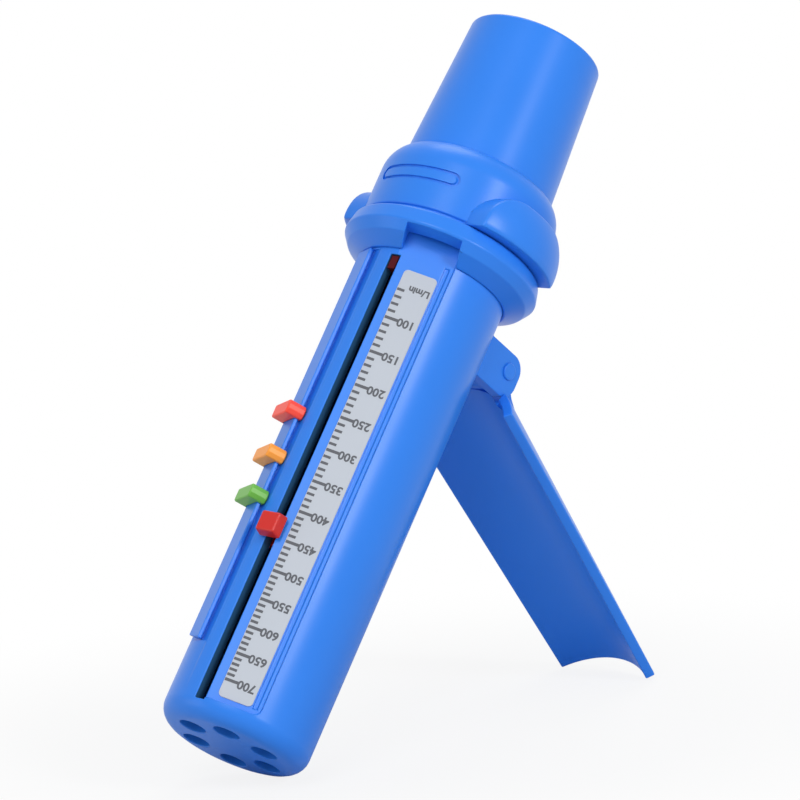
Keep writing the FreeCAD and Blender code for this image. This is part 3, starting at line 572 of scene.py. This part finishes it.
BLUE = moulded("moulded_blue", (0.026, 0.210, 0.79), roughness=0.33, shine=0.28)
RED = moulded("moulded_red", (1.0, 0.080, 0.044), roughness=0.38)
YELLOW = moulded("moulded_yellow", (0.98, 0.35, 0.045), roughness=0.38)
GREEN = moulded("moulded_green", (0.15, 0.46, 0.060), roughness=0.38)
POINTER_RED = moulded("moulded_pointer", (0.60, 0.020, 0.014), roughness=0.34)
# Partly the piston's own dark red and partly painted shade: the red is set darker still, so the tab in the
# slot, which faces the lamps, looks shaded.
PISTON_RED = moulded("moulded_piston", (0.085, 0.006, 0.010), roughness=0.6, shine=0.12)
NATURAL = moulded("natural_acetal", (0.78, 0.78, 0.75), roughness=0.4)
RUBBER = moulded("moulded_rubber", (0.02, 0.02, 0.023), roughness=0.75, bump=0.2)
# Painted shade: a very dark blue that stands for the shadow in the bore and the slot, which are blue
# plastic.
PAINTED_BORE_SHADE = moulded("bore_shade", (0.020, 0.090, 0.20), roughness=0.6)
INK = moulded("scale_ink", (0.10, 0.105, 0.12), roughness=0.6, bump=0.02)
PAPER = moulded("scale_paper", (0.46, 0.495, 0.55), roughness=0.42, drift=0.05, bump=0.02)
print("moulded finishes:", [finish.name for finish in (BLUE, RED, YELLOW, GREEN, POINTER_RED)])

# %% [markdown]
# ## Steel
#
# The rod is ground and the spring is drawn wire, so both shine in fine streaks along their length.
# A noise that is stretched along the barrel's axis makes the streaks, and it drives the roughness
# only: the colour of bare steel hardly changes.

# %% The ground steel finish
STEEL_GREY = (0.62, 0.63, 0.65, 1)
STREAK_SCALE = 4000
STREAK_STRETCH = 0.05
STREAK_ROUGHNESS = (0.22, 0.42)


def ground_steel():
    """Bare steel with fine streaks along the barrel's axis."""
    material = bpy.data.materials.new("ground_steel")
    material.use_nodes = True
    nodes, links = material.node_tree.nodes, material.node_tree.links
    principled = nodes["Principled BSDF"]
    principled.inputs["Base Color"].default_value = STEEL_GREY
    principled.inputs["Metallic"].default_value = 1.0
    place = nodes.new("ShaderNodeTexCoord")
    along = nodes.new("ShaderNodeMapping")
    along.inputs["Rotation"].default_value = (LEAN.to_euler().x, 0, 0)
    along.inputs["Scale"].default_value = (1, 1, STREAK_STRETCH)
    streaks = nodes.new("ShaderNodeTexNoise")
    streaks.inputs["Scale"].default_value = STREAK_SCALE
    spread = nodes.new("ShaderNodeMapRange")
    spread.inputs["To Min"].default_value, spread.inputs["To Max"].default_value = STREAK_ROUGHNESS
    links.new(place.outputs["Object"], along.inputs["Vector"])
    links.new(along.outputs["Vector"], streaks.inputs["Vector"])
    links.new(streaks.outputs["Fac"], spread.inputs["Value"])
    links.new(spread.outputs["Result"], principled.inputs["Roughness"])
    return material


STEEL = ground_steel()
print("steel finish:", STEEL.name)

# %% [markdown]
# ## The barrel
#
# The barrel is one moulding: a tube closed at its vented end, with a slot for the pointer, a flat
# sunk panel for the scale, a rail for the zone markers and two lugs for the handle. A tube could
# be made from two cylinders, but a lathe profile gives the wall, the rounded end and the boss
# that holds the rod in one go. The flats and holes are then cut the way the mould's inserts do it.

# %% The barrel's turned shell
BORE = TUBE_RADIUS - 2.8
TUBE_TOP = 124.0
END_ROUNDING = 4.0
END_WALL = 2.4
BOSS_RADIUS = 3.4
BOSS_TOP = 7.6
ROD_RADIUS = 1.2
ROD_HOLE = ROD_RADIUS + 0.02
ROD_HOLE_LOW = 1.2
PANEL_AZIMUTH = 34.5
SLOT_AZIMUTH = 8.6
RAIL_AZIMUTH = -27.0
PANEL_DISTANCE = TUBE_RADIUS - 1.4
FAR = TUBE_RADIUS * 2

barrel = turned("barrel", rounded([
    (0, 0), (TUBE_RADIUS, 0, END_ROUNDING), (TUBE_RADIUS, TUBE_TOP, 0.3), (BORE, TUBE_TOP, 0.3),
    (BORE, END_WALL, 0.5), (BOSS_RADIUS, END_WALL, 0.4), (BOSS_RADIUS, BOSS_TOP, 0.3), (ROD_HOLE, BOSS_TOP),
    (ROD_HOLE, ROD_HOLE_LOW), (0, ROD_HOLE_LOW)], steps=7))
print("turned shell:", len(barrel.data.polygons), "faces")

# %% The scale panel, its groove, the slot and the vents
PANEL_LEFT, PANEL_RIGHT = -6.7, 6.1
PANEL_LOW, PANEL_HIGH = 4.1, HEAD_LOW + 6.6
GROOVE_LEFT, GROOVE_RIGHT = 4.1, 5.1
GROOVE_LOW, GROOVE_HIGH = 5.4, HEAD_LOW - 0.8
GROOVE_DEPTH = 0.35
SLOT_HALF = 1.2
SLOT_LOW, SLOT_HIGH = 3.6, HEAD_LOW - 1.4
SLOT_INNER = 8
VENTS = 6
VENT_RADIUS = 2.95
VENT_CIRCLE = BORE - 4.4

panel = rounded([(PANEL_LEFT, PANEL_LOW), (PANEL_RIGHT, PANEL_LOW, 1.6), (PANEL_RIGHT, PANEL_HIGH),
                 (PANEL_LEFT, PANEL_HIGH)])
groove = [(GROOVE_LEFT, GROOVE_LOW), (GROOVE_RIGHT, GROOVE_LOW), (GROOVE_RIGHT, GROOVE_HIGH),
          (GROOVE_LEFT, GROOVE_HIGH)]
slot = oblong(SLOT_HALF, SLOT_LOW, SLOT_HIGH)
combine(barrel, facing("panel", panel, PANEL_DISTANCE, FAR, PANEL_AZIMUTH), "DIFFERENCE")
combine(barrel, facing("groove", groove, PANEL_DISTANCE - GROOVE_DEPTH, FAR, PANEL_AZIMUTH), "DIFFERENCE")
combine(barrel, facing("slot", slot, SLOT_INNER, FAR, SLOT_AZIMUTH), "DIFFERENCE")
for number in range(VENTS):
    angle = math.radians(PANEL_AZIMUTH + 360 / VENTS * number)
    place = (VENT_CIRCLE * math.sin(angle), -VENT_CIRCLE * math.cos(angle))
    combine(barrel, cylinder("vent", VENT_RADIUS, -1, END_WALL + 1, sides=48, place=place), "DIFFERENCE")
print("cut barrel:", len(barrel.data.polygons), "faces")

# %% The marker rail on its flat
RAIL_LOW = 17.5
RAIL_HIGH = HEAD_LOW - 0.4
RAIL_HEAD = 6.4
RAIL_NECK = 4.6
RAIL_TOP = TUBE_RADIUS + 0.7
RAIL_UNDER = RAIL_TOP - 0.9
RAIL_FLOOR = TUBE_RADIUS - 0.9
RAIL_ROOT = BORE + 1.4
RAIL_FLAT = 6.0
RAIL_SLANT = (-0.21, 0, -0.98)


def rail_section(neck, head, under, top, root):
    """The rail's T section seen from above, with the head outwards."""
    return [(-neck, -root), (-neck, -under), (-head, -under), (-head, -top),
            (head, -top), (head, -under), (neck, -under), (neck, -root)]


flat = oblong(RAIL_FLAT, RAIL_LOW - 0.8, RAIL_HIGH)
combine(barrel, facing("rail_flat", flat, RAIL_FLOOR, FAR, RAIL_AZIMUTH), "DIFFERENCE")
section = rail_section(RAIL_NECK / 2, RAIL_HEAD / 2, RAIL_UNDER, RAIL_TOP, RAIL_ROOT)
rail = rising("rail", section, RAIL_LOW - 0.7, RAIL_HIGH)
pick(rail, "FACE", lambda face: True)
bpy.ops.mesh.bisect(plane_co=(0, 0, RAIL_LOW), plane_no=RAIL_SLANT, use_fill=True, clear_outer=True)
done()
combine(barrel, at_azimuth(rail, RAIL_AZIMUTH), "UNION")
print("with its rail:", len(barrel.data.polygons), "faces")

# %% The hinge lugs
LUG_INNER = 7.2
LUG_OUTER = 10.2
LUG_ROOT = math.sqrt(TUBE_RADIUS ** 2 - LUG_OUTER ** 2) - 0.4
LUG_BACK = PIVOT.y + 4.0
LUG_LOW, LUG_HIGH = PIVOT.z - 5.8, PIVOT.z + 4.1
LUG_ROUNDING = 3.8
PIN_RADIUS = 1.3

lug = rounded([(LUG_ROOT, LUG_LOW), (LUG_BACK, LUG_LOW, LUG_ROUNDING), (LUG_BACK, LUG_HIGH, LUG_ROUNDING),
               (LUG_ROOT, LUG_HIGH)], steps=9)
for left, right in ((LUG_INNER, LUG_OUTER), (-LUG_OUTER, -LUG_INNER)):
    combine(barrel, sideways("lug", lug, left, right), "UNION")
pin_hole = axle("pin_hole", PIN_RADIUS + 0.02, LUG_OUTER * 1.3, (PIVOT.y, PIVOT.z))
combine(barrel, pin_hole, "DIFFERENCE")
print("with its lugs:", len(barrel.data.polygons), "faces")

# %% [markdown]
# ## The barrel's blue and its painted shade
#
# Seen from outside, the slot is nearly black: hardly any light gets into the bore. Light that
# bounces between blue walls would make it a bright blue, so the bore and the slot's walls, the
# same blue plastic, get painted shade: a very dark second material slot, picked by their distance
# from the axis.

# %% Edges, the painted shade inside, and its place
round_edges(barrel, 0.22, smooth=20)


def is_inside(face):
    """True for the bore's wall and for the walls of the slot, short of its rounded rim."""
    place = face.calc_center_median()
    radius = math.hypot(place.x, place.y)
    if not END_WALL + 0.05 < place.z < TUBE_TOP - 0.4:
        return False
    angle = math.radians(SLOT_AZIMUTH)
    off_middle = abs(place.x * math.cos(angle) + place.y * math.sin(angle))
    in_slot = off_middle < SLOT_HALF + 0.02 and place.y < 0 and SLOT_LOW - 0.2 < place.z < SLOT_HIGH + 0.2
    return radius < BORE + 0.02 or (in_slot and radius < TUBE_RADIUS - 0.35)


barrel.data.materials.append(BLUE)
# The second slot is painted shade on the bore and the slot's walls.
barrel.data.materials.append(PAINTED_BORE_SHADE)
pick(barrel, "FACE", is_inside)
barrel.active_material_index = 1
bpy.ops.object.material_slot_assign()
done()
stand(barrel, "barrel_shell", "barrel", BLUE, "body_tube")

# %% [markdown]
# ## The inlet head
#
# The head is the collar between the barrel and the mouthpiece. It has a flared flange at the
# bottom, a plain collar with a domed crown, and two ears that keep fingers off the slot. The
# collar is turned. An ear bulges most at its middle and runs out into the collar at its ends, so
# it starts as a turned disc whose axis stands off the barrel's, and a Boolean keeps only what lies
# inside the ear's arched outline. A bevel would fail on the short edges that this leaves, so a fine
# voxel remesh and a few passes of smoothing give the ear its soft rim.

# %% Turned collar and flange
FLANGE = TUBE_RADIUS + 5.9
NECK = TUBE_RADIUS + 3.4
COLLAR = TUBE_RADIUS + 3.8
FLANGE_HIGH = HEAD_LOW + 8.2
FLANGE_LOW = FLANGE_HIGH - 3.6
COLLAR_LOW = FLANGE_HIGH + 0.8
COLLAR_TOP = COLLAR_LOW + 17.2
CROWN_LOW = COLLAR_TOP - 5.6
SEAT = COLLAR_TOP + 0.1
SLEEVE = TUBE_RADIUS + 0.1
SKIRT = SLEEVE + 0.45
KNEE = FLANGE - 1.6
SPIDER_ROOM = TUBE_TOP + 2.5
MOUTH_BASE = 17.0
SOCKET = 15.3
SOCKET_FLOOR = SEAT - 8.7


def dome(radius, height, run, rise, steps=9):
    """Points of an arc that carries on from an upright side and leans inwards by run over rise."""
    bend = (run ** 2 + rise ** 2) / (2 * run)
    reach = math.asin(rise / bend)
    angles = [reach * step / steps for step in range(steps + 1)]
    return [(radius - bend + bend * math.cos(angle), height + bend * math.sin(angle)) for angle in angles]


crown = dome(COLLAR, CROWN_LOW, COLLAR - MOUTH_BASE - 0.6, COLLAR_TOP - CROWN_LOW)
outside = rounded([(SLEEVE, HEAD_LOW), (SKIRT, HEAD_LOW, 0.2), (KNEE, (HEAD_LOW + FLANGE_LOW) / 2, 1.2),
                   (FLANGE, FLANGE_LOW, 0.8), (FLANGE - 0.8, FLANGE_HIGH, 0.8), (NECK, FLANGE_HIGH, 0.25),
                   (NECK, COLLAR_LOW, 0.2), (COLLAR, COLLAR_LOW, 0.5), crown[0]])
mouth_rim = rounded([crown[-2], (*crown[-1], 0.4), (SOCKET, COLLAR_TOP)])
inside = [(SOCKET, SOCKET_FLOOR), (BORE, SOCKET_FLOOR), (BORE, SPIDER_ROOM), (SLEEVE, SPIDER_ROOM)]
head = turned("head", outside + crown[1:-1] + mouth_rim[1:] + inside)
print("turned head:", len(head.data.polygons), "faces")

# %% The two finger ears
EAR_LOW = FLANGE_HIGH + 0.2
EAR_HIGH = EAR_LOW + 10.3
EAR = TUBE_RADIUS + 8.4
EAR_HALF = 13.3
EAR_BEND = 22.5
EAR_ARCH = 8.6
EAR_SIDE = 2.0
EAR_LEAN, EAR_CROWN = 2.4, 8.9
EAR_VOXEL = 0.28

rim = dome(EAR_BEND, EAR_LOW + EAR_SIDE, EAR_LEAN, EAR_CROWN)
disc = [(0, EAR_LOW - 1), (EAR_BEND - 0.4, EAR_LOW - 1), (EAR_BEND, EAR_LOW + 1), *rim, (0, rim[-1][1])]
arch = rounded([(-EAR_HALF, EAR_LOW), (EAR_HALF, EAR_LOW), (EAR_HALF, EAR_HIGH, EAR_ARCH),
                (-EAR_HALF, EAR_HIGH, EAR_ARCH)], steps=14)
for side in (1, -1):
    ear = turned("ear", disc, sides=120)
    ear.data.transform(Matrix.Translation((side * (EAR - EAR_BEND), 0, 0)))
    combine(ear, sideways("ear_arch", arch, 0, side * FAR), "INTERSECT")
    apply_modifier(ear, "REMESH", mode="VOXEL", voxel_size=EAR_VOXEL)
    apply_modifier(ear, "SMOOTH", factor=0.5, iterations=7)
    combine(ear, cylinder("collar_core", COLLAR - 1.2, EAR_LOW - 3, EAR_HIGH + 3), "DIFFERENCE")
    combine(head, ear, "UNION")
print("head with ears:", len(head.data.polygons), "faces")

# %% The panel's notch and the sunk line on the collar
NOTCH_HALF = 6.3
LINE_MIDDLE = COLLAR_TOP - 9.2
LINE_HALF = 10.45
LINE_RISE = 1.7
LINE_WIDTH = 0.7
LINE_DEPTH = 0.5
LINE_INNER = 8
LINE_AZIMUTH = 4.8


def stadium(half, rise):
    """A bar with round ends; the sunk line runs between a larger and a smaller one."""
    return oblong(half, LINE_MIDDLE - rise, LINE_MIDDLE + rise, rise - 0.01)


notch = oblong(NOTCH_HALF, HEAD_LOW - 2, FLANGE_LOW - 0.5)
combine(head, facing("panel_notch", notch, PANEL_DISTANCE, FAR, PANEL_AZIMUTH), "DIFFERENCE")
line = facing("line", stadium(LINE_HALF, LINE_RISE), LINE_INNER, FAR)
inset = stadium(LINE_HALF - LINE_WIDTH, LINE_RISE - LINE_WIDTH)
island = facing("island", inset, LINE_INNER - 1, FAR * 1.2)
line_floor = cylinder("line_floor", COLLAR - LINE_DEPTH, LINE_MIDDLE - 4, LINE_MIDDLE + 4, sides=144)
combine(line, island, "DIFFERENCE")
combine(line, line_floor, "DIFFERENCE")
combine(head, at_azimuth(line, LINE_AZIMUTH), "DIFFERENCE")
round_edges(head, 0.12, angle=45, smooth=24)
stand(head, "head_collar", "barrel", BLUE, "inlet_head")

# %% [markdown]
# ## The mouthpiece
#
# A plain tapered tube that pulls off for washing. It is one lathe profile, outside and inside,
# with a soft lip at the tip where it meets the mouth.

# %% Mouthpiece
MOUTH_TIP = 15.15
MOUTH_BORE = 13.2
MOUTH_LOW, MOUTH_HIGH = SEAT - 8.4, SEAT + 34.5
PLUG = SOCKET - 0.1

mouthpiece = turned("mouthpiece", rounded([
    (MOUTH_BORE, MOUTH_LOW, 0.3), (PLUG, MOUTH_LOW, 0.5), (PLUG, SEAT), (MOUTH_BASE, SEAT, 0.25),
    (MOUTH_TIP, MOUTH_HIGH, 0.85), (MOUTH_BORE, MOUTH_HIGH, 0.85)]), sides=160)
round_edges(mouthpiece, 0)
stand(mouthpiece, "mouthpiece_tube", "mouthpiece_body", BLUE, "mouthpiece")

# %% [markdown]
# ## The handle
#
# The handle wraps the barrel's back when it is folded, so it is a curved plate that narrows
# towards its foot. Bending a flat plate is the easy way to see it: X across the plate becomes an
# angle about the barrel's axis and the thickness becomes a radius. The Bend modifier works from
# the piece's own length, which would change with the taper, so the wrap is one line of
# trigonometry instead.
#
# At the top a knuckle turns between the lugs, and a tapered wedge carries it into the plate. The
# plate and the knuckle are rounded while they are still plain shapes, because a bevel after they
# are cut and joined would meet edges shorter than its own radius.

# %% The bent plate
HANDLE_INNER = TUBE_RADIUS + 1.9
HANDLE_OUTER = HANDLE_INNER + 2.2
HANDLE_FOOT = PIVOT.z - 84.7
HANDLE_SHOULDER = PIVOT.z - 2.6
FOOT_ANGLE = math.radians(43)
WING_ANGLE = math.radians(56)


def wrap_round(piece):
    """Bends a plate about the Z axis: x is an angle in radians and y is the distance from the axis."""
    for vertex in piece.data.vertices:
        angle, radius, height = vertex.co
        vertex.co = (radius * math.sin(angle), radius * math.cos(angle), height)
    return piece


only(None)
bpy.ops.mesh.primitive_grid_add(x_subdivisions=48, y_subdivisions=12, size=2)
handle = added("handle")
pick(handle, "FACE", lambda face: True)
bpy.ops.transform.resize(value=(1, (HANDLE_SHOULDER - HANDLE_FOOT) / 2, 1))
bpy.ops.mesh.extrude_region_move(TRANSFORM_OT_translate={"value": (0, 0, HANDLE_OUTER - HANDLE_INNER)})
done()
for vertex in handle.data.vertices:
    across, along, thick = vertex.co
    height = along + (HANDLE_SHOULDER + HANDLE_FOOT) / 2
    share = (height - HANDLE_FOOT) / (HANDLE_SHOULDER - HANDLE_FOOT)
    vertex.co = (across * (FOOT_ANGLE + share * (WING_ANGLE - FOOT_ANGLE)), HANDLE_INNER + thick, height)
face_out(wrap_round(handle))
round_edges(handle, 0.35, segments=3, angle=50)
print("bent plate:", len(handle.data.polygons), "faces")

# %% Its knuckle, and the notches that clear the lugs
TONGUE = LUG_INNER - 0.3
NOTCH = LUG_OUTER + 0.3
NOTCH_LOW = PIVOT.z - 6.1
ROOM_LOW = PIVOT.z - 3
ROOM_HIGH = PIVOT.z + 9
KNUCKLE_RADIUS = 3.8

for left, right in ((TONGUE, NOTCH), (-NOTCH, -TONGUE)):
    combine(handle, block("notch", (left, 0, NOTCH_LOW), (right, FAR, ROOM_HIGH)), "DIFFERENCE")
room = block("knuckle_room", (-TONGUE - 0.1, 0, ROOM_LOW), (TONGUE + 0.1, FAR, ROOM_HIGH))
combine(handle, room, "DIFFERENCE")
knuckle = axle("knuckle", KNUCKLE_RADIUS, TONGUE, (PIVOT.y, PIVOT.z), sides=96)
round_edges(knuckle, 0.3, segments=3, angle=50)
# From the pivot over the back of the knuckle, down the plate's outer face and up its inner one.
wedge = [(PIVOT.y - 3.4, PIVOT.z), (PIVOT.y + 3.6, PIVOT.z - 1.2), (HANDLE_OUTER + 1.0, PIVOT.z - 8, 4.0),
         (HANDLE_OUTER - 1.7, PIVOT.z - 19), (HANDLE_INNER + 0.6, PIVOT.z - 12)]
combine(knuckle, sideways("wedge", rounded(wedge), -TONGUE, TONGUE), "UNION")
print("knuckle:", len(knuckle.data.polygons), "faces")
knuckle_hole = axle("knuckle_hole", PIN_RADIUS + 0.05, TONGUE * 1.5, (PIVOT.y, PIVOT.z))
combine(knuckle, knuckle_hole, "DIFFERENCE")
combine(handle, knuckle, "UNION")
round_edges(handle, 0)
stand(handle, "fold_out_handle", "handle_body", BLUE, "handle", opened=True)

# %% [markdown]
# ## The hinge pin
#
# A plain pin with a low rounded head at each end, so it can be turned as one profile and laid on
# its side.

# %% Hinge pin
PIN_REACH = LUG_OUTER + 0.05
PIN_END = PIN_REACH + 0.5
PIN_HEAD = 1.9

pin = turned("pin", rounded([
    (0, -PIN_END), (PIN_HEAD, -PIN_END, 0.35), (PIN_HEAD, -PIN_REACH), (PIN_RADIUS, -PIN_REACH),
    (PIN_RADIUS, PIN_REACH), (PIN_HEAD, PIN_REACH), (PIN_HEAD, PIN_END, 0.35), (0, PIN_END)]), sides=64)
pin.data.transform(Matrix.Translation(PIVOT) @ Matrix.Rotation(math.pi / 2, 4, "Y"))
round_edges(pin, 0)
stand(pin, "hinge_pin_turned", "barrel", BLUE, "hinge_pin")

# %% [markdown]
# ## Zone markers and pointer
#
# Three small clips slide along the rail and mark a patient's red, yellow and green zones. They are
# the same moulding in three colours, so one function makes them all: a block with a blunt point
# towards the scale, a T-shaped channel cut through it, and soft edges.

# %% The three zone markers
SLIDE_GAP = 0.15
MARKER_LEFT = RAIL_HEAD / 2 + SLIDE_GAP + 0.85
MARKER_RIGHT = RAIL_HEAD / 2 + SLIDE_GAP + 0.5
MARKER_TIP = MARKER_RIGHT + 0.6
MARKER_TOP = TUBE_RADIUS + 3.5
MARKER_FOOT = RAIL_FLOOR + SLIDE_GAP
MARKER_BELOW, MARKER_ABOVE = 1.3, 1.8
MARKER_SLOPE = 1.0
MARKERS = {"red": (70.9, RED), "yellow": (60.2, YELLOW), "green": (50.4, GREEN)}


def build_marker(colour, place, material):
    """A clip in one colour, with its channel round the rail."""
    low, high = place - MARKER_BELOW, place + MARKER_ABOVE
    outline = [(-MARKER_LEFT, low, 0.6), (MARKER_RIGHT, low, 0.6), (MARKER_TIP, low + MARKER_SLOPE, 0.4),
               (MARKER_TIP, high - MARKER_SLOPE, 0.4), (MARKER_RIGHT, high, 0.6), (-MARKER_LEFT, high, 0.6)]
    marker = facing(colour, rounded(outline, steps=4), MARKER_FOOT, MARKER_TOP)
    round_edges(marker, 0.4, segments=3, angle=60)
    section = rail_section(RAIL_NECK / 2 + SLIDE_GAP, RAIL_HEAD / 2 + SLIDE_GAP, RAIL_UNDER - SLIDE_GAP,
                           RAIL_TOP + SLIDE_GAP, MARKER_FOOT - SLIDE_GAP * 2)
    combine(marker, rising("channel", section, place - 4, place + 4), "DIFFERENCE")
    round_edges(marker, 0)
    at_azimuth(marker, RAIL_AZIMUTH)
    stand(marker, f"zone_marker_{colour}", f"{colour}_marker", material, f"marker_{colour}")


for colour, (place, material) in MARKERS.items():
    build_marker(colour, place, material)

# %% The pointer
POINTER_PLACE = 44.0
KNOB_LOW = TUBE_RADIUS + 0.25
KNOB_THICK = 2.85
KNOB_HALF, KNOB_RISE = 2.7, 2.6
KNOB_TAPER = 0.86
STEM_HALF, STEM_RISE = 0.85, 1.2

knob = oblong(KNOB_HALF, POINTER_PLACE - KNOB_RISE, POINTER_PLACE + KNOB_RISE, 0.5)
stem = oblong(STEM_HALF, POINTER_PLACE - STEM_RISE, POINTER_PLACE + STEM_RISE)
pointer = facing("pointer", knob, KNOB_LOW, KNOB_LOW + KNOB_THICK)
pick(pointer, "FACE", lambda face: face.normal.y < -0.9)
bpy.ops.transform.resize(value=(KNOB_TAPER, 1, KNOB_TAPER))
done()
round_edges(pointer, 0.4, segments=3, angle=50)
combine(pointer, facing("stem", stem, BORE - 1.05, KNOB_LOW + 1), "UNION")
round_edges(pointer, 0)
stand(at_azimuth(pointer, SLOT_AZIMUTH), "pointer_block", "pointer", POINTER_RED, "pointer_knob")

# %% [markdown]
# ## The printed scale
#
# The scale sheet comes from the frame and only needs a paper finish. The print on it is real
# geometry: thin bars for the marks and text turned into mesh for the plain numbers. An image
# texture would blur in a close view, and a pattern made of shader nodes can't write numbers. The
# marks stand closer together towards the high flows, as the spring pushes back harder there.

# %% Marks and numbers
PRINT_LOW = PANEL_DISTANCE + 0.2
PRINT_THICK = 0.05
LABEL_EDGE = -3.8
FIRST_FLOW, LAST_FLOW = 100, 700
FIRST_HEIGHT = 96.6
FIRST_STEP = 17.15
CROWDING = 0.433
LONG_MARK = (3.2, 0.66)
SHORT_MARK = (1.75, 0.58)
NUMBER_SIZE, NUMBER_PLACE = 2.65, 1.15
UNIT_SIZE, UNIT_PLACE, UNIT_HEIGHT = 2.1, 1.0, 104.4


def mark_height(flow):
    """The height up the barrel, in millimetres, of a flow in litres per minute."""
    steps = (flow - FIRST_FLOW) / 100
    return FIRST_HEIGHT - FIRST_STEP * steps + CROWDING * steps ** 2


def build_marks():
    """All the bars of the scale as one mesh."""
    only(None)
    marks = block("marks", (0, 0, 0), (1, 1, 1))
    pick(marks, "FACE", lambda face: True)
    bpy.ops.mesh.delete(type="FACE")
    done()
    bars = []
    for flow in range(60, LAST_FLOW + 1, 10):
        length, thick = LONG_MARK if flow % 50 == 0 and flow >= FIRST_FLOW else SHORT_MARK
        height = mark_height(flow)
        bars.append(block("bar", (LABEL_EDGE + 0.1, -PRINT_LOW - PRINT_THICK, height - thick / 2),
                          (LABEL_EDGE + length, -PRINT_LOW + 0.05, height + thick / 2)))
    only(marks)
    for bar in bars:
        bar.select_set(True)
    bpy.ops.object.join()
    return marks


def build_text(words, x, height, size):
    """Words laid on the scale sheet, with their tops towards the vented end as on the meter."""
    only(None)
    bpy.ops.object.text_add()
    text = bpy.context.active_object
    text.data.body = words
    text.data.size = size
    text.data.align_x = "CENTER"
    text.data.align_y = "CENTER"
    text.data.extrude = 0.03
    text.data.offset = 0.08
    text.data.resolution_u = 3
    only(text)
    bpy.ops.object.convert(target="MESH")
    text.data.transform(Matrix.Translation((x, -PRINT_LOW, height)) @ Matrix.Rotation(math.pi, 4, "Y")
                        @ Matrix.Rotation(math.pi / 2, 4, "X"))
    return text


scale_print = build_marks()
words = [build_text(str(flow), NUMBER_PLACE, mark_height(flow) - 0.1, NUMBER_SIZE)
         for flow in range(FIRST_FLOW, LAST_FLOW + 1, 50)]
words.append(build_text("L/min", UNIT_PLACE, UNIT_HEIGHT, UNIT_SIZE))
only(scale_print)
for word in words:
    word.select_set(True)
bpy.ops.object.join()
weld(scale_print, 1e-5)
stand(at_azimuth(scale_print, PANEL_AZIMUTH), "scale_print", "barrel", INK)

# %% [markdown]
# ## Inside the barrel
#
# The piston, its bush, the rod and the spring show through the slot and down the mouthpiece.
# Their shapes in the frame are right, so they only get their finishes.

# %% Finishes of the inner pieces
INNER = {"pointer_shoe": POINTER_RED, "piston_disc": PISTON_RED, "piston_tab": PISTON_RED,
         "piston_bush": NATURAL, "rod_spider": NATURAL, "guide_rod": STEEL, "rod_clip": STEEL,
         "spring_anchor": STEEL, "return_spring": STEEL, "head_seal": RUBBER, "end_bumper": RUBBER,
         "scale_label": PAPER}
for node, material in INNER.items():
    slots = frame["nodes"][node].data.materials
    slots.clear()
    slots.append(material)
print("finished inside:", ", ".join(INNER))
